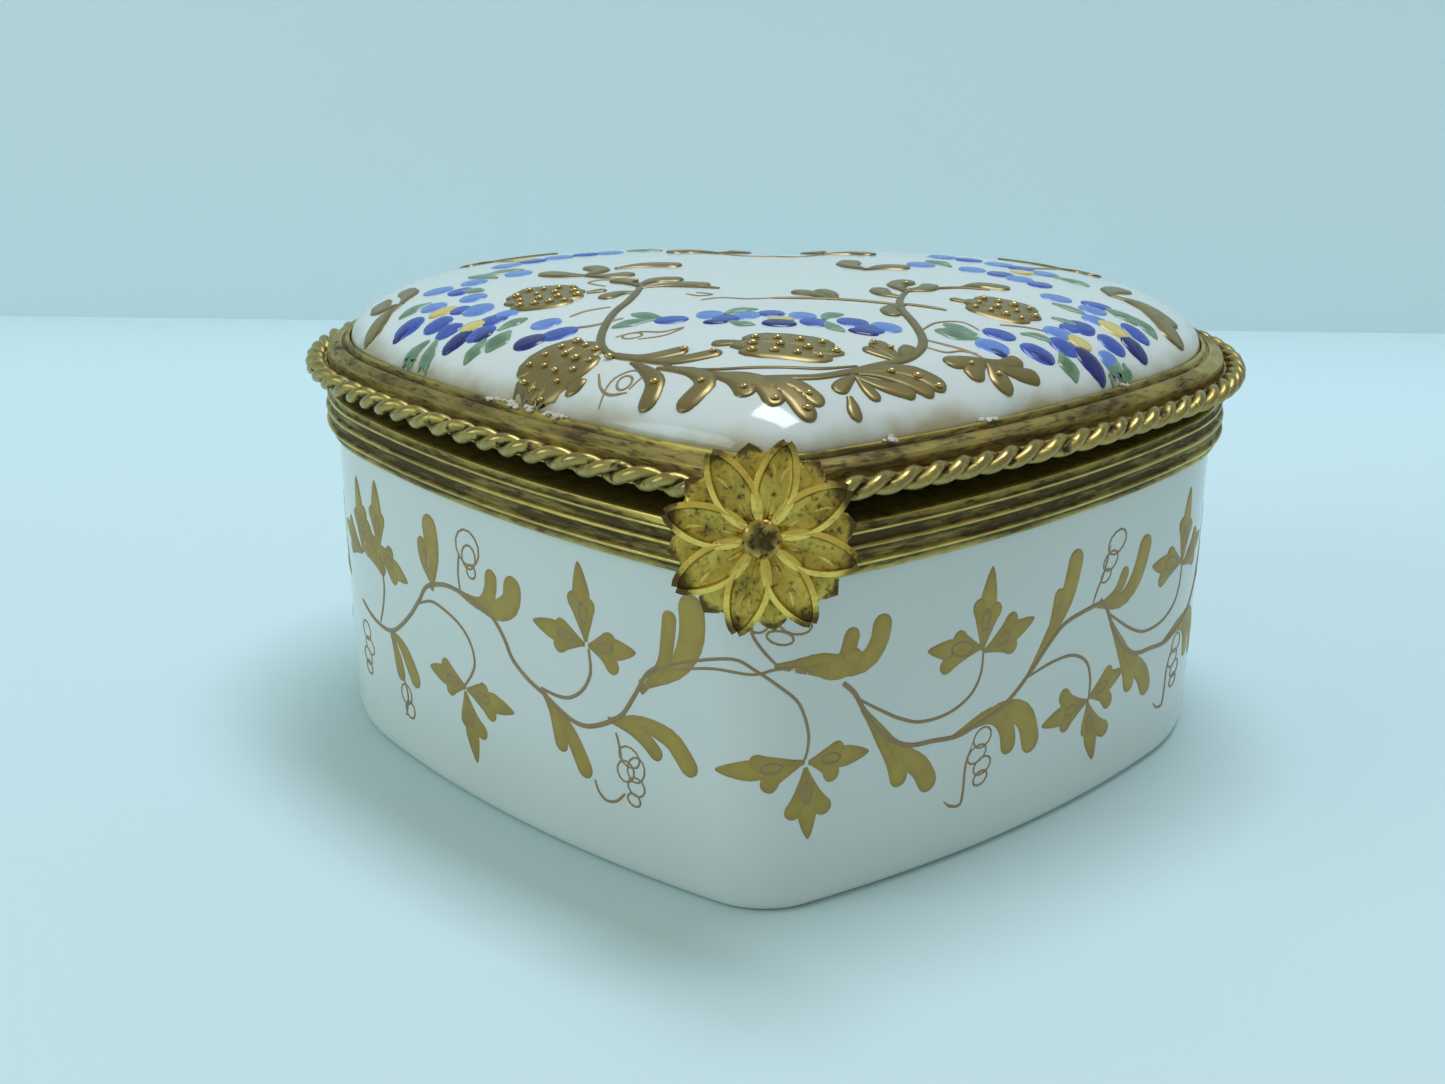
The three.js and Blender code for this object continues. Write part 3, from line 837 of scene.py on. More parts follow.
def vine_wave(start, low, high, side):
    """One wave of the vine: down into a valley, up over the crest, and on to the next leaf."""
    first_gilt, first_pen = len(gilt), len(penned)
    for line, width, fade in (
            ([(5.0, 13.9), (5.8, 13.1), (6.5, 11.9), (7.5, 10.5), (8.6, 9.5), (10, 8.8), (11.8, 8.6),
              (13.7, 8.4), (15.3, 8.7), (17.7, 9.4), (19.7, 10.8), (21.5, 12.4), (22.9, 13.3),
              (24.8, 13.6), (26.6, 13.7)], 0.34, 1),
            ([(5.9, 12.8), (7.7, 11.6), (9.2, 10.7), (10.8, 10.1), (12.9, 10.1), (14.6, 10.8),
              (15.4, 12), (15.5, 13.6)], 0.24, 0.7),
            ([(19.4, 10.6), (21.8, 11), (23.9, 10.9), (25.5, 10), (26.1, 8.5), (26, 7)], 0.24, 0.7)):
        penned.append(pen(line, width, fade))
    for line, width in (
            ([(6.4, 12), (7.8, 10), (8.9, 8.2), (9.4, 6.3)], 1.5),
            ([(7.4, 10.7), (9.2, 8.6), (10.9, 7.1), (11.8, 5.4)], 1.6),
            ([(13.4, 8.4), (16.4, 9), (17.9, 7.9), (18.3, 5.9)], 1.5),
            ([(14.4, 8.6), (17.4, 9.1), (19.6, 8), (20.5, 5.4)], 1.8),
            ([(19.6, 10.7), (21.5, 13), (23, 15.2), (23.7, 18)], 1.6),
            ([(20.8, 12.2), (21.8, 13.8), (22.2, 15.8)], 1.1),
            ([(26.2, 13.6), (28.8, 13.2), (30.6, 14.4), (31.6, 17)], 1.7),
            ([(26.8, 13.6), (28.4, 14), (29.3, 15.4)], 1.1)):
        gilt.append(brush(line, width, 0.4))
    leaflet((15.4, 13.5), (15.9, 18.7), (14.7, 16.8), (16.8, 16.1), ring_size=0.9)
    leaflet((15.3, 13.7), (11.0, 14.5), (13.3, 15.2), (12.1, 12.9), ring_size=1.2)
    leaflet((15.6, 13.4), (19.9, 14.5), (18.1, 15.3), (18.3, 12.8))
    leaflet((25.9, 7.2), (21.3, 6.8), (23.1, 8.7), (23.4, 5.8))
    leaflet((26.1, 7.4), (29.9, 8.2), (28.4, 8.9), (28.6, 6))
    leaflet((26.0, 7.0), (27.1, 2.7), (25.6, 4.9), (28.6, 4.3))
    for loop in ((15.9, 7.7, 1.5, 1.3), (15.5, 6.7, 1.6, 1.1), (16, 5.8, 1.5, 1.1), (15.9, 5, 1.2, 0.9),
                 (27.9, 17.4, 2, 1.5), (27.3, 16.3, 1.6, 1.2), (26.9, 15.4, 1.1, 0.8)):
        penned.append(ring(*loop, 20))
    penned.append(pen([(15.2, 7.8), (14.6, 6.3), (14.5, 4.6), (14.3, 3.7), (13.5, 3.8), (12.9, 4.3)]))
    penned.append(pen([(25.6, 13.6), (26, 14.6), (26.6, 15.6), (27.2, 17.4)]))
    whole_ring = 14
    for strokes, first in ((gilt, first_gilt), (penned, first_pen)):
        placed = [[(x + start, y, half) for x, y, half in stroke] for stroke in strokes[first:]]
        if strokes is penned:
            placed = [[point for point in stroke if point[0] <= high] for stroke in placed]
        strokes[first:] = [
            [(side * x, y, half) for x, y, half in stroke] for stroke in placed
            if len(stroke) >= whole_ring and stroke[0][0] >= low
            and max(x for x, y, half in stroke) <= high]


vine_end = half_girth / MM - 0.4
right_wave, left_wave = 21.5, 21.2
free_drawn = 36.5
for wave in range(4):
    vine_wave(right_wave * wave, 0, vine_end, 1)
for wave in range(1, 4):
    vine_wave(left_wave * wave, free_drawn, vine_end, -1)

# The front of the vine, under the flower and to its left, is drawn freely.
for line, width in (
        ([(-8.3, 13), (-6.4, 14.4), (-4.2, 15.3), (-1.8, 15.9), (-0.4, 15.3), (1, 14.3), (2.1, 13.2),
          (2.7, 11.5), (2.7, 10.3), (2.4, 9.4)], 0.22),
        ([(-6, 14.3), (-3, 15.1), (-0.6, 15.1), (0.6, 15.4), (2, 15.5)], 0.2),
        ([(0.8, 15.6), (-0.1, 16.6), (-0.7, 17.6), (-0.6, 18.6)], 0.2),
        ([(-7, 14.2), (-7.8, 13.5), (-8.8, 11.8), (-9.9, 10.3), (-12, 9.1), (-13.4, 8.9), (-14.7, 9.3),
          (-16.2, 10), (-17.5, 10.5), (-18.9, 11.4), (-19.6, 12.5), (-20.5, 13.5), (-21.6, 14),
          (-23.8, 14.4), (-25.7, 14.4), (-27.8, 13.7), (-28.9, 12.4), (-30.3, 10.9), (-32.2, 9.4),
          (-33.6, 8.9), (-35.6, 9.1), (-37.5, 9.8)], 0.34),
        ([(-12.2, 14), (-12.1, 12.5), (-12.8, 11.2), (-13.9, 10.4), (-15, 10.2), (-16.4, 10.3)], 0.26),
        ([(-29, 12.2), (-27.4, 12.8), (-26, 12.7), (-24.3, 12.2), (-23.2, 11.3), (-22.8, 10.1),
          (-23.2, 9.1), (-24.1, 8)], 0.24),
        ([(-34, 14.2), (-33.6, 12.2), (-33.9, 10.6), (-34.5, 9.2)], 0.24),
        ([(-23.9, 14.2), (-24.1, 15.6), (-23.9, 17)], 0.2),
        ([(-10.2, 9.2), (-10, 8.6), (-9.8, 7.6)], 0.2),
        ([(-9.6, 5.4), (-10.3, 4.7), (-11.1, 4.5), (-11.7, 4.9), (-12, 5.6)], 0.2),
        ([(-31.8, 6.4), (-31.2, 5), (-31.6, 3.4)], 0.2)):
    penned.append(pen(line, width, 0.8))
for line, width in (
        ([(-8.2, 12.3), (-6.6, 14.4), (-6.2, 16), (-6.0, 17.9)], 1.1),
        ([(-8.0, 12.7), (-5.6, 14.4), (-4.5, 16.6), (-4.6, 19.2)], 1.9),
        ([(0.6, 15.6), (3, 15.7), (4.9, 15.3), (5.6, 17.2)], 1.2),
        ([(1.2, 15.5), (4.2, 14.9), (6.4, 14.9), (7.4, 16), (7.6, 17.6)], 1.5),
        ([(2.5, 15.3), (4.4, 14.9), (6.2, 15.5)], 1.8),
        ([(-16.3, 10.2), (-15.2, 8.8), (-14.6, 6.6)], 1.3),
        ([(-15.9, 9.8), (-14.3, 8.5), (-13.3, 7), (-12.5, 5.5)], 1.4),
        ([(-10.8, 9.9), (-9, 9.8), (-7.8, 9.3), (-6.8, 8.4)], 1.2),
        ([(-10.4, 10), (-8.4, 10.4), (-6.2, 10), (-5.3, 9.2), (-4.4, 8)], 1.5),
        ([(-24, 14.4), (-21.9, 14.2), (-20.9, 15.2), (-20.7, 16.8)], 1.3),
        ([(-23.4, 14.2), (-20.5, 14.2), (-18.9, 15.1), (-18.7, 16.9)], 1.8),
        ([(-27.2, 13.6), (-26.9, 16), (-27.3, 18.7)], 1.8),
        ([(-27.3, 14.2), (-28, 15.4), (-28.2, 17)], 1.2),
        ([(-33.2, 9), (-31.6, 8.4), (-30.5, 7.2), (-29.7, 6)], 1.5),
        ([(-33, 8.8), (-32.3, 7.4), (-31.8, 5.8)], 1.3)):
    gilt.append(brush(line, width, 0.4))
for node, *tips in (
        ((2.5, 9.6), (-3, 8.9), (-0.8, 9.9), (0.3, 7.8)),
        ((2.8, 9.5), (7.0, 9.2), (5, 10.3), (4.4, 7.9)),
        ((2.6, 9.2), (2.9, 4.6), (1.5, 6.1), (4.3, 6.1)),
        ((-12.4, 14.4), (-12.9, 19.3), (-13.7, 17.2), (-11.8, 17.1)),
        ((-12.5, 14.2), (-16.9, 14.6), (-14.7, 15.3), (-14.9, 13.2)),
        ((-12.2, 14.2), (-8.5, 14.7), (-10.3, 15.4), (-10.1, 12.9)),
        ((-23.9, 8), (-28, 8.2), (-26.4, 9.2), (-25.8, 6.9)),
        ((-23.8, 7.9), (-19.0, 7.8), (-22, 8.9), (-21, 6.6)),
        ((-24, 7.7), (-23.1, 3), (-24.5, 5.4), (-21.9, 5.2)),
        ((-34, 14.4), (-34.1, 19.2), (-35, 17.2), (-33.1, 17)),
        ((-34, 14.3), (-30.2, 13.2), (-32.4, 15.1), (-31.8, 12.6)),
        ((-34.2, 14.3), (-37.6, 15.6), (-35.8, 16), (-36, 13.4))):
    leaflet(node, *tips)
for loop in ((-9.2, 7.9, 1.6, 1.3), (-8.7, 7.2, 1.3, 1.7), (-9.5, 6.9, 1.3, 1.4), (-8.7, 6.1, 1.3, 1.2),
             (-8.9, 5.2, 1, 0.8), (-23, 17.6, 2.4, 2.3), (-22.9, 17, 1.4, 1.6), (-22.7, 16.1, 0.9, 0.9),
             (-31.4, 5, 1.4, 1.4), (-31, 4, 1.2, 1.2), (-0.4, 18.2, 1.3, 1.2), (1.8, 18, 2, 1.1),
             (0.9, 17.3, 1.6, 0.8)):
    penned.append(ring(*loop, -15))


def paint(name, thin, thick, rough, metal=0.0, patch=700):
    """Fired colour: the second colour where the brush left a thicker body, with fine mottling."""
    material, nodes, links, shader = blank_material(name)
    shader.inputs["Metallic"].default_value = metal
    mottle = clouds(nodes, links, patch, 4)
    body = nodes.new("ShaderNodeAttribute")
    body.attribute_name = "body"
    share = nodes.new("ShaderNodeMath")
    share.operation = "MULTIPLY_ADD"
    share.inputs[1].default_value = 1.1
    links.new(body.outputs["Fac"], share.inputs[0])
    links.new(remap(nodes, links, mottle, 0, 1, -0.55, 0.75), share.inputs[2])
    links.new(blend(nodes, links, share.outputs["Value"], thin, thick), shader.inputs["Base Color"])
    links.new(remap(nodes, links, mottle, 0, 1, rough + 0.12, rough - 0.08), shader.inputs["Roughness"])
    emboss(nodes, links, shader, mottle, strength=0.3, depth=0.02)
    return material


wall_gilding = painted("wall_gilding", gilt, 0.042, on_wall)
wall_gilding.data.materials.append(
    paint("flat gilding", (0.32, 0.215, 0.075), (0.44, 0.31, 0.07), 0.42, metal=0.5))
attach(wall_gilding, "base")

wall_pen_work = painted("wall_pen_work", penned, 0.08, on_wall)
brown_pen = paint("brown pen work", (0.34, 0.23, 0.11), (0.25, 0.165, 0.07), 0.4, metal=0.2)
wall_pen_work.data.materials.append(brown_pen)
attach(wall_pen_work, "base")

# ---- Painting on the lid -------------------------------------------------------------------
# Raised gold scrolls, leaves and berries built up in paste and gilded, with burnished beads, and
# between them garlands of small blue flowers with yellow eyes and green leaves in enamel.


glaze_surface = BVHTree.FromPolygons([vertex.co for vertex in dome.data.vertices],
                                     [face.vertices for face in dome.data.polygons])


def on_dome(x, y, out):
    """A place on the dome over (x, y), at a distance out from its glaze."""
    place, facing, face, drop = glaze_surface.ray_cast(Vector((x, y, 0.05)), Vector((0, 0, -1)))
    if not place:
        inward = (Vector((x, y)) - heart_middle).normalized() * 0.4 * MM
        return on_dome(x - inward.x, y - inward.y, out)
    return place + facing * out


def dab(x, y, wide, high, tilt=0):
    """One touch of a full brush: an oval, leaning by an angle from the vertical."""
    across, flow = wide > high, 1.14
    long, thick = flow * max(wide, high), flow * min(wide, high)
    turn = Matrix.Rotation(math.radians(tilt + (90 if across else 0)), 2)
    half = turn @ Vector((0, (long - 0.2 * thick) / 2))
    return [(*(Vector((x, y)) + half * t), thick / 2 * math.sqrt(max(0.02, 1 - t * t)))
            for t in (-1, -0.92, -0.75, -0.5, -0.2, 0.1, 0.4, 0.68, 0.88, 1)]


raised = [pen(line, width, 0.6) for line, width in (
    ([(-8.4, -0.6), (-8.6, -2.5), (-9, -5), (-9.7, -7.5), (-10.1, -10.8), (-9.9, -13), (-9, -14.6),
      (-7.4, -15.8), (-5.6, -17)], 0.55),
    ([(-6, -17), (-3.6, -18.2), (-0.6, -18.6), (2.6, -18.2), (5, -17)], 0.3),
    ([(-5.4, -17.4), (-3.4, -18.9), (-1.2, -19.9), (0.6, -19.9), (2.6, -19.3), (4.6, -17.9),
      (6.3, -16.4), (7.9, -15), (8.8, -13.2), (9, -11.4), (8.6, -9), (8, -6.4), (8, -4), (8.5, -1.6)],
     0.6),
    ([(8.2, -5.4), (6, -4.9), (3, -4.6), (0, -4.8)], 0.4),
    ([(8.2, -5), (9.4, -5.2), (10.8, -5.6)], 0.4),
    ([(-8.7, -1.6), (-7.2, -1), (-5, -1.3), (-3.4, -1.8)], 0.5),
    ([(8.6, -1.6), (10.2, -0.4), (12, 0.4), (14, 0.5)], 0.4))]
raised += [brush(line, width, 0.4) for line, width in (
    ([(-9, -14.4), (-7.2, -15.6), (-4.7, -15.1)], 1.2),
    ([(-7.6, -15.8), (-5.4, -16.5), (-2.7, -16)], 1.1),
    ([(-7.9, -15.9), (-7, -17.2), (-6.4, -18.6), (-6.9, -20.4)], 1.2),
    ([(-6.4, -17.2), (-4.3, -18.3), (-3.5, -19.8), (-4.9, -21.4)], 1.4),
    ([(-3.8, -18.5), (-1.8, -20), (-1.1, -21.8)], 1.3),
    ([(-3.4, -18.8), (-0.4, -20.6), (0.5, -22.6)], 1.4),
    ([(-2, -19.6), (0.9, -21.1), (2.4, -23.1)], 1.4),
    ([(-1, -19.9), (1.2, -20.4), (3, -21.8)], 1.3),
    ([(-3.4, -18.8), (-1.6, -19.9), (0, -20.8)], 1.8),
    ([(4.4, -18.2), (6.4, -16.9), (8.3, -16.5), (10.1, -17)], 1.4),
    ([(4.6, -18.4), (6.2, -18.6), (8.3, -18.3)], 1.1),
    ([(5, -18), (7, -17.5), (9.4, -17.7)], 1.2),
    ([(7.6, -15.6), (7, -14.6), (6, -13.1)], 1.3),
    ([(7.8, -15.4), (7.9, -14.2), (8.2, -13)], 1.1),
    ([(7.4, -15.5), (6.4, -14.9), (5.4, -14.3)], 1),
    ([(4.8, -18.4), (4.2, -19.4), (3.8, -20.4)], 1),
    ([(5, -18.6), (5.6, -19.4), (6.2, -19.9)], 0.9),
    ([(4.5, -20.4), (4.7, -21), (4.9, -21.8)], 0.9),
    ([(-8.6, -1), (-9.4, 0.4), (-10.6, 1)], 1.4),
    ([(-8.6, -0.8), (-7.6, 0.8), (-5.8, 1)], 1.3),
    ([(-8.8, -2.6), (-9.8, -2.9), (-10.8, -4)], 1.2),
    ([(-8, -1.2), (-6, -0.6), (-4, -1)], 1.4),
    ([(-12.4, 3), (-13.8, 3.4), (-15.6, 4.6)], 1.6),
    ([(-12.4, 3), (-11.6, 4.6), (-12.6, 6.2)], 1.6),
    ([(-12.4, 2.8), (-10.8, 2.4), (-9.2, 3.2)], 1.4),
    ([(-10.6, 5.2), (-8.6, 6.4), (-6.2, 6.2)], 1.6),
    ([(8.2, -3.4), (7, -2.6), (6.8, -1)], 1.4),
    ([(8.4, -1.6), (8, 0.2), (9, 1.6)], 1.6),
    ([(8.4, -1.4), (9.8, -0.6), (10.2, 0.8)], 1.4),
    ([(8.2, -5.2), (7.2, -6.6), (7.6, -8)], 1.2),
    ([(3.6, -4.7), (2.6, -3.4), (1.2, -2.8)], 1.3),
    ([(4, -4.7), (3.6, -3.2), (2.8, -2.2)], 1.2),
    ([(6.2, 5.4), (5, 7), (5.4, 8.8)], 1.7),
    ([(6.2, 5.4), (7.6, 6.6), (9.2, 6.6)], 1.6),
    ([(12.2, 0.5), (13.6, 1.6), (15.4, 1.2)], 1.4),
    ([(-24.6, 2), (-26, 2.6), (-26.4, 4.8)], 1.5),
    ([(-24.6, 2), (-25.6, 0.6), (-26, -1.4)], 1.5),
    ([(-24.6, 2), (-24.4, 4), (-25, 6)], 1.4),
    ([(22.4, 4.2), (24.4, 3.4), (26.2, 1.4)], 2),
    ([(22.8, 4.4), (25, 1.8), (26, -1)], 1.8),
    ([(22.4, 4.2), (22.6, 6), (24, 7.6)], 1.7),
    ([(-20.4, 15.6), (-18.6, 17.6), (-16, 18.6)], 1.8),
    ([(-20.4, 15.6), (-21.8, 16.4), (-22.4, 15)], 1.5),
    ([(-4, 12.4), (-2.4, 14.2), (-3, 16)], 1.5),
    ([(-4, 12.4), (-6, 13.4), (-7.6, 12.6)], 1.5),
    ([(3.4, 12.6), (2.4, 14.6), (3.4, 16.4)], 1.5),
    ([(3.4, 12.6), (5.4, 13.4), (7, 12.4)], 1.5),
    ([(20.4, 14.6), (18.8, 16.8), (16.2, 18)], 1.8),
    ([(20.4, 14.6), (21.9, 15.2), (22.8, 13.6)], 1.5))]
raised += [brush([(12.7, -12.9), *tips], width, 0.5) for *tips, width in (
    ((11.6, -13.6), (10.1, -14.4), 1.3), ((12, -13.9), (11.8, -15.2), 1.3),
    ((13.8, -12.6), (14.8, -11.5), 1.1), ((14.2, -13), (15.9, -12.3), 1.1),
    ((13.3, -13.8), (13.8, -14.9), 1.5))]

# Berries: paste heaped in short fat strokes, and on each a dozen beads of bright gold.
beads = []
for middle, wide, high, tilt, rows in (
        ((-12.4, -13.9), 5.4, 5.0, 24, 4), ((-14.5, -2.4), 5.2, 5.2, 0, 4),
        ((1, -15.4), 6.6, 3.9, -4, 3), ((14.4, -3.9), 5, 4.2, -18, 3)):
    turn = Matrix.Rotation(math.radians(tilt), 2)
    spread = Vector((wide / 2, high / 2))
    for row in range(rows):
        up = -1 + 2 * (row + 0.5) / rows
        reach = math.sqrt(1 - 0.75 * up * up)
        raised.append([(*(Vector(middle) + turn @ Vector((t * reach * spread.x, up * spread.y * 0.8))),
                        high / rows * 0.8 * math.sqrt(max(0.04, 1 - abs(t) ** 3)))
                       for t in (-1, -0.85, -0.5, 0, 0.5, 0.85, 1)])
        for k in range(4):
            offset = -0.72 + 0.48 * k + 0.12 * (row % 2)
            beads.append(Vector(middle) + turn @ Vector(
                (offset * reach * spread.x, up * spread.y * 0.8)))
raised += [brush(line, width, 0.5) for line, width in (
    ([(-13.5, -14.9), (-13.8, -15.5)], 1.3), ([(-11.3, -15.8), (-11.0, -16.9)], 1.4),
    ([(-10.9, -13.2), (-10.2, -12.3)], 1.1), ([(-1.6, -14.8), (-3.4, -14.6)], 0.9),
    ([(-11.8, -2.2), (-10.6, -1.8)], 0.7), ([(12.4, -3.4), (11.2, -2.8)], 0.7))]
beads += [Vector(place) for place in (
    (-4.9, -15.2), (-3.2, -16), (-6.4, -18.6), (-3.7, -19.6), (0.4, -22.1), (2.1, -22.4), (2.2, -21.2),
    (6.9, -17.1), (8.4, -16.8), (7, -13.9), (11.7, -13.8), (13.3, -13.8), (-9.3, -14.8), (9.6, -17),
    (-1.3, -21), (8.6, 0.4), (-8.9, 0.2))]

lid_gilding = painted("lid_gilding", raised, 0.13, on_dome)
raised_gold = paint("raised gold", (0.20, 0.15, 0.06), (0.31, 0.235, 0.09), 0.32, metal=0.7, patch=900)
lid_gilding.data.materials.append(raised_gold)

bpy.ops.object.select_all(action="DESELECT")
bpy.ops.mesh.primitive_ico_sphere_add(subdivisions=2, radius=0.21 * MM)
bead = bpy.context.object
bpy.ops.object.shade_smooth()
chance = random.Random(4)
bead_out = 0.17 * MM
beading = []
for place in beads:
    copy = bead.copy()
    copy.data = bead.data.copy()
    bpy.context.collection.objects.link(copy)
    size = chance.uniform(0.75, 1.25)
    copy.data.transform(Matrix.Translation(on_dome(place.x * MM, place.y * MM, bead_out))
                        @ Matrix.Diagonal((size * 1.3, size, size * 0.8, 1)))
    beading.append(copy)
bpy.ops.object.select_all(action="DESELECT")
for copy in beading:
    copy.select_set(True)
bead.select_set(True)
bead.data.transform(Matrix.Translation(on_dome(6 * MM, -13.6 * MM, bead_out)))
bpy.context.view_layer.objects.active = bead
bpy.ops.object.join()
bead.name = "gold_beads"
bead.data.materials.append(
    paint("burnished gold", (0.50, 0.36, 0.14), (0.75, 0.58, 0.26), 0.22, metal=0.9))

tendrils = [pen(line, width, 0.7) for line, width in (
    ([(-9.8, -16.2), (-9.6, -17.4), (-9, -18.2), (-8, -18.6)], 0.16),
    ([(-9.6, -18.6), (-9, -17.2), (-7.8, -16.8), (-7.2, -17.6), (-7.9, -18.4)], 0.14),
    ([(-9.2, -11.8), (-7.8, -11.4), (-6.4, -11.8), (-5.2, -11.3), (-6.2, -12.4), (-7.8, -12.6)], 0.18),
    ([(-12, -9.3), (-11, -9.4), (-10, -9.1), (-9, -8.6)], 0.3),
    ([(9, -11.6), (10.4, -11.9), (11.6, -12.2), (12.7, -12.9)], 0.26),
    ([(8.8, -12.6), (10.2, -13), (11.2, -12.4), (12.2, -12.3)], 0.2),
    ([(9, -10.2), (10, -8.4), (11.6, -7.6), (12.6, -8.6)], 0.18),
    ([(-10, -6), (-11.4, -6.4), (-12.4, -7.2)], 0.24),
    ([(0.6, -4.6), (-1.4, -5), (-3.2, -4.6), (-4.4, -5.2)], 0.2),
    ([(-5.4, -3.4), (-4.6, -4), (-3.8, -3.6), (-4.8, -3)], 0.2),
    ([(-10.8, -0.6), (-12, 0.6), (-11.2, 1.4), (-10, 1)], 0.2),
    ([(14, -7), (15.6, -6.6), (17, -6.6)], 0.2),
    ([(0, 11.6), (-2.2, 11.2), (-4, 12.4)], 0.3),
    ([(0, 11.6), (1.8, 11.2), (3.4, 12.6)], 0.3),
    ([(-16.4, 10.6), (-18.8, 13), (-20.4, 15.6)], 0.4),
    ([(16.4, 9.8), (18.8, 12), (20.4, 14.6)], 0.4))]
tendrils += [ring(-8.2, -17.7, 0.9, 1.1), ring(-8.2, -11.9, 1.2, 0.9)]
lid_pen_work = painted("lid_pen_work", tendrils, 0.06, on_dome)
lid_pen_work.data.materials.append(brown_pen)

# Flower petals, eyes and leaves: (x, y, width, height, lean) of each touch of colour.
pale_blue = [dab(*touch) for touch in (
    (-13.8, -7.9, 2, 1.5, 10), (-18.7, -3.1, 2.2, 2, 10), (-19.4, -0.4, 1.9, 1.5, 0),
    (-16.7, -5, 1.7, 1.3, 20), (-22.3, 3.2, 2.1, 1.7, 10), (-20, 4, 1.9, 1.6, 0),
    (-21.9, -0.9, 1.8, 1.5, 10), (-17.2, 5.4, 2, 1.8, 0), (-3.7, -9, 1.8, 1.6, 0),
    (-1.5, -9.4, 1.8, 1.6, 20), (1.9, -9.3, 1.8, 1.5, -20), (6.9, -10.4, 2, 1.6, -20),
    (13.2, -10.8, 2.2, 1.8, -20), (17.6, -6.4, 1.9, 1.6, -10), (20.4, -2.7, 1.8, 1.4, -20),
    (18.3, 0.5, 2.1, 1.5, -5), (20.5, -0.8, 1.9, 1.4, -10), (20.8, -7.2, 1.3, 1.6, 0),
    (10, 8.2, 2.1, 1.9, 0), (13.4, 7.2, 2, 1.8, 10), (16.4, 5, 2, 1.8, 0), (-15.2, 12, 2.2, 2, 0),
    (-18.6, 9.8, 2, 2, 0), (-11.8, 13.4, 2, 2, 0), (15.6, 11, 2, 2, 0), (18.4, 8.6, 2, 2, 0),
    (11.8, 13, 2, 2, 0))]
deep_blue = [dab(*touch) for touch in (
    (-12.8, -9.9, 2.4, 1.6, 18), (-23.2, -2.8, 2.1, 1.7, 35), (-21.1, -4.1, 2, 1.7, 25),
    (-20.2, -5.5, 1.6, 1.6, 20), (-17.9, -7.3, 2, 1.5, 35), (-17.4, -5.6, 2, 1.5, 20),
    (-20.6, 1.8, 1.8, 1.6, 0), (-19.9, -2.6, 1.5, 1.3, 20), (-6, -9.7, 2.1, 1.3, 0),
    (-2.7, -10, 1.9, 1.4, 20), (2.6, -10.6, 1.9, 1.5, -20), (4.9, -10, 2, 1.5, -10),
    (5.9, -11, 1.9, 1.5, -20), (0, -9, 1.7, 1.2, 0), (13.8, -8.7, 2.1, 1.5, -10),
    (16, -10, 2.2, 1.6, -12), (17.8, -8.1, 2, 1.6, -10), (19.2, -4.6, 2.1, 1.9, 10),
    (21.1, -5.4, 1.9, 1.5, -30), (23, -2.6, 2, 1.3, -35), (20.9, 0.5, 2, 1.2, -5),
    (18.5, -5.2, 1.4, 1.2, 0), (15.2, 6.2, 1.9, 1.7, 0), (17.6, 3.8, 1.8, 1.6, 0),
    (-16.9, 10.9, 2, 1.8, 0), (-13.4, 12.9, 2, 1.8, 0), (17, 10, 2, 1.8, 0), (13.6, 12.2, 2, 1.8, 0))]
navy = [dab(*touch) for touch in (
    (-14.5, -10.3, 2.1, 1.6, 18), (-19.4, -7.2, 2.1, 1.3, 40), (-17.7, -7.8, 1.3, 0.8, 30),
    (-23.6, -3.2, 1.3, 0.8, 35), (0.5, -11.2, 2.1, 1.3, 0), (-3.3, -10.6, 1.5, 0.8, 0),
    (5.5, -11.7, 1.8, 0.9, -10), (19.4, -8.4, 2.2, 1.5, -40), (22.7, -4.4, 1.9, 1.4, -40),
    (16.2, -10.3, 1.5, 0.8, -12), (13.5, -11.5, 1.2, 0.6, -20))]
eyes = [dab(*touch) for touch in (
    (-21.1, -2.2, 1.9, 1.2, 25), (-18.6, -6, 1.7, 1.4, 30), (0.6, -10.3, 1.6, 0.9, 0),
    (18.9, -6.9, 1.6, 1.2, -20), (21.5, -3.3, 2.2, 1.4, -30), (16.9, 8, 1.6, 1.6, 0),
    (-17.6, 12.2, 1.6, 1.6, 0))]
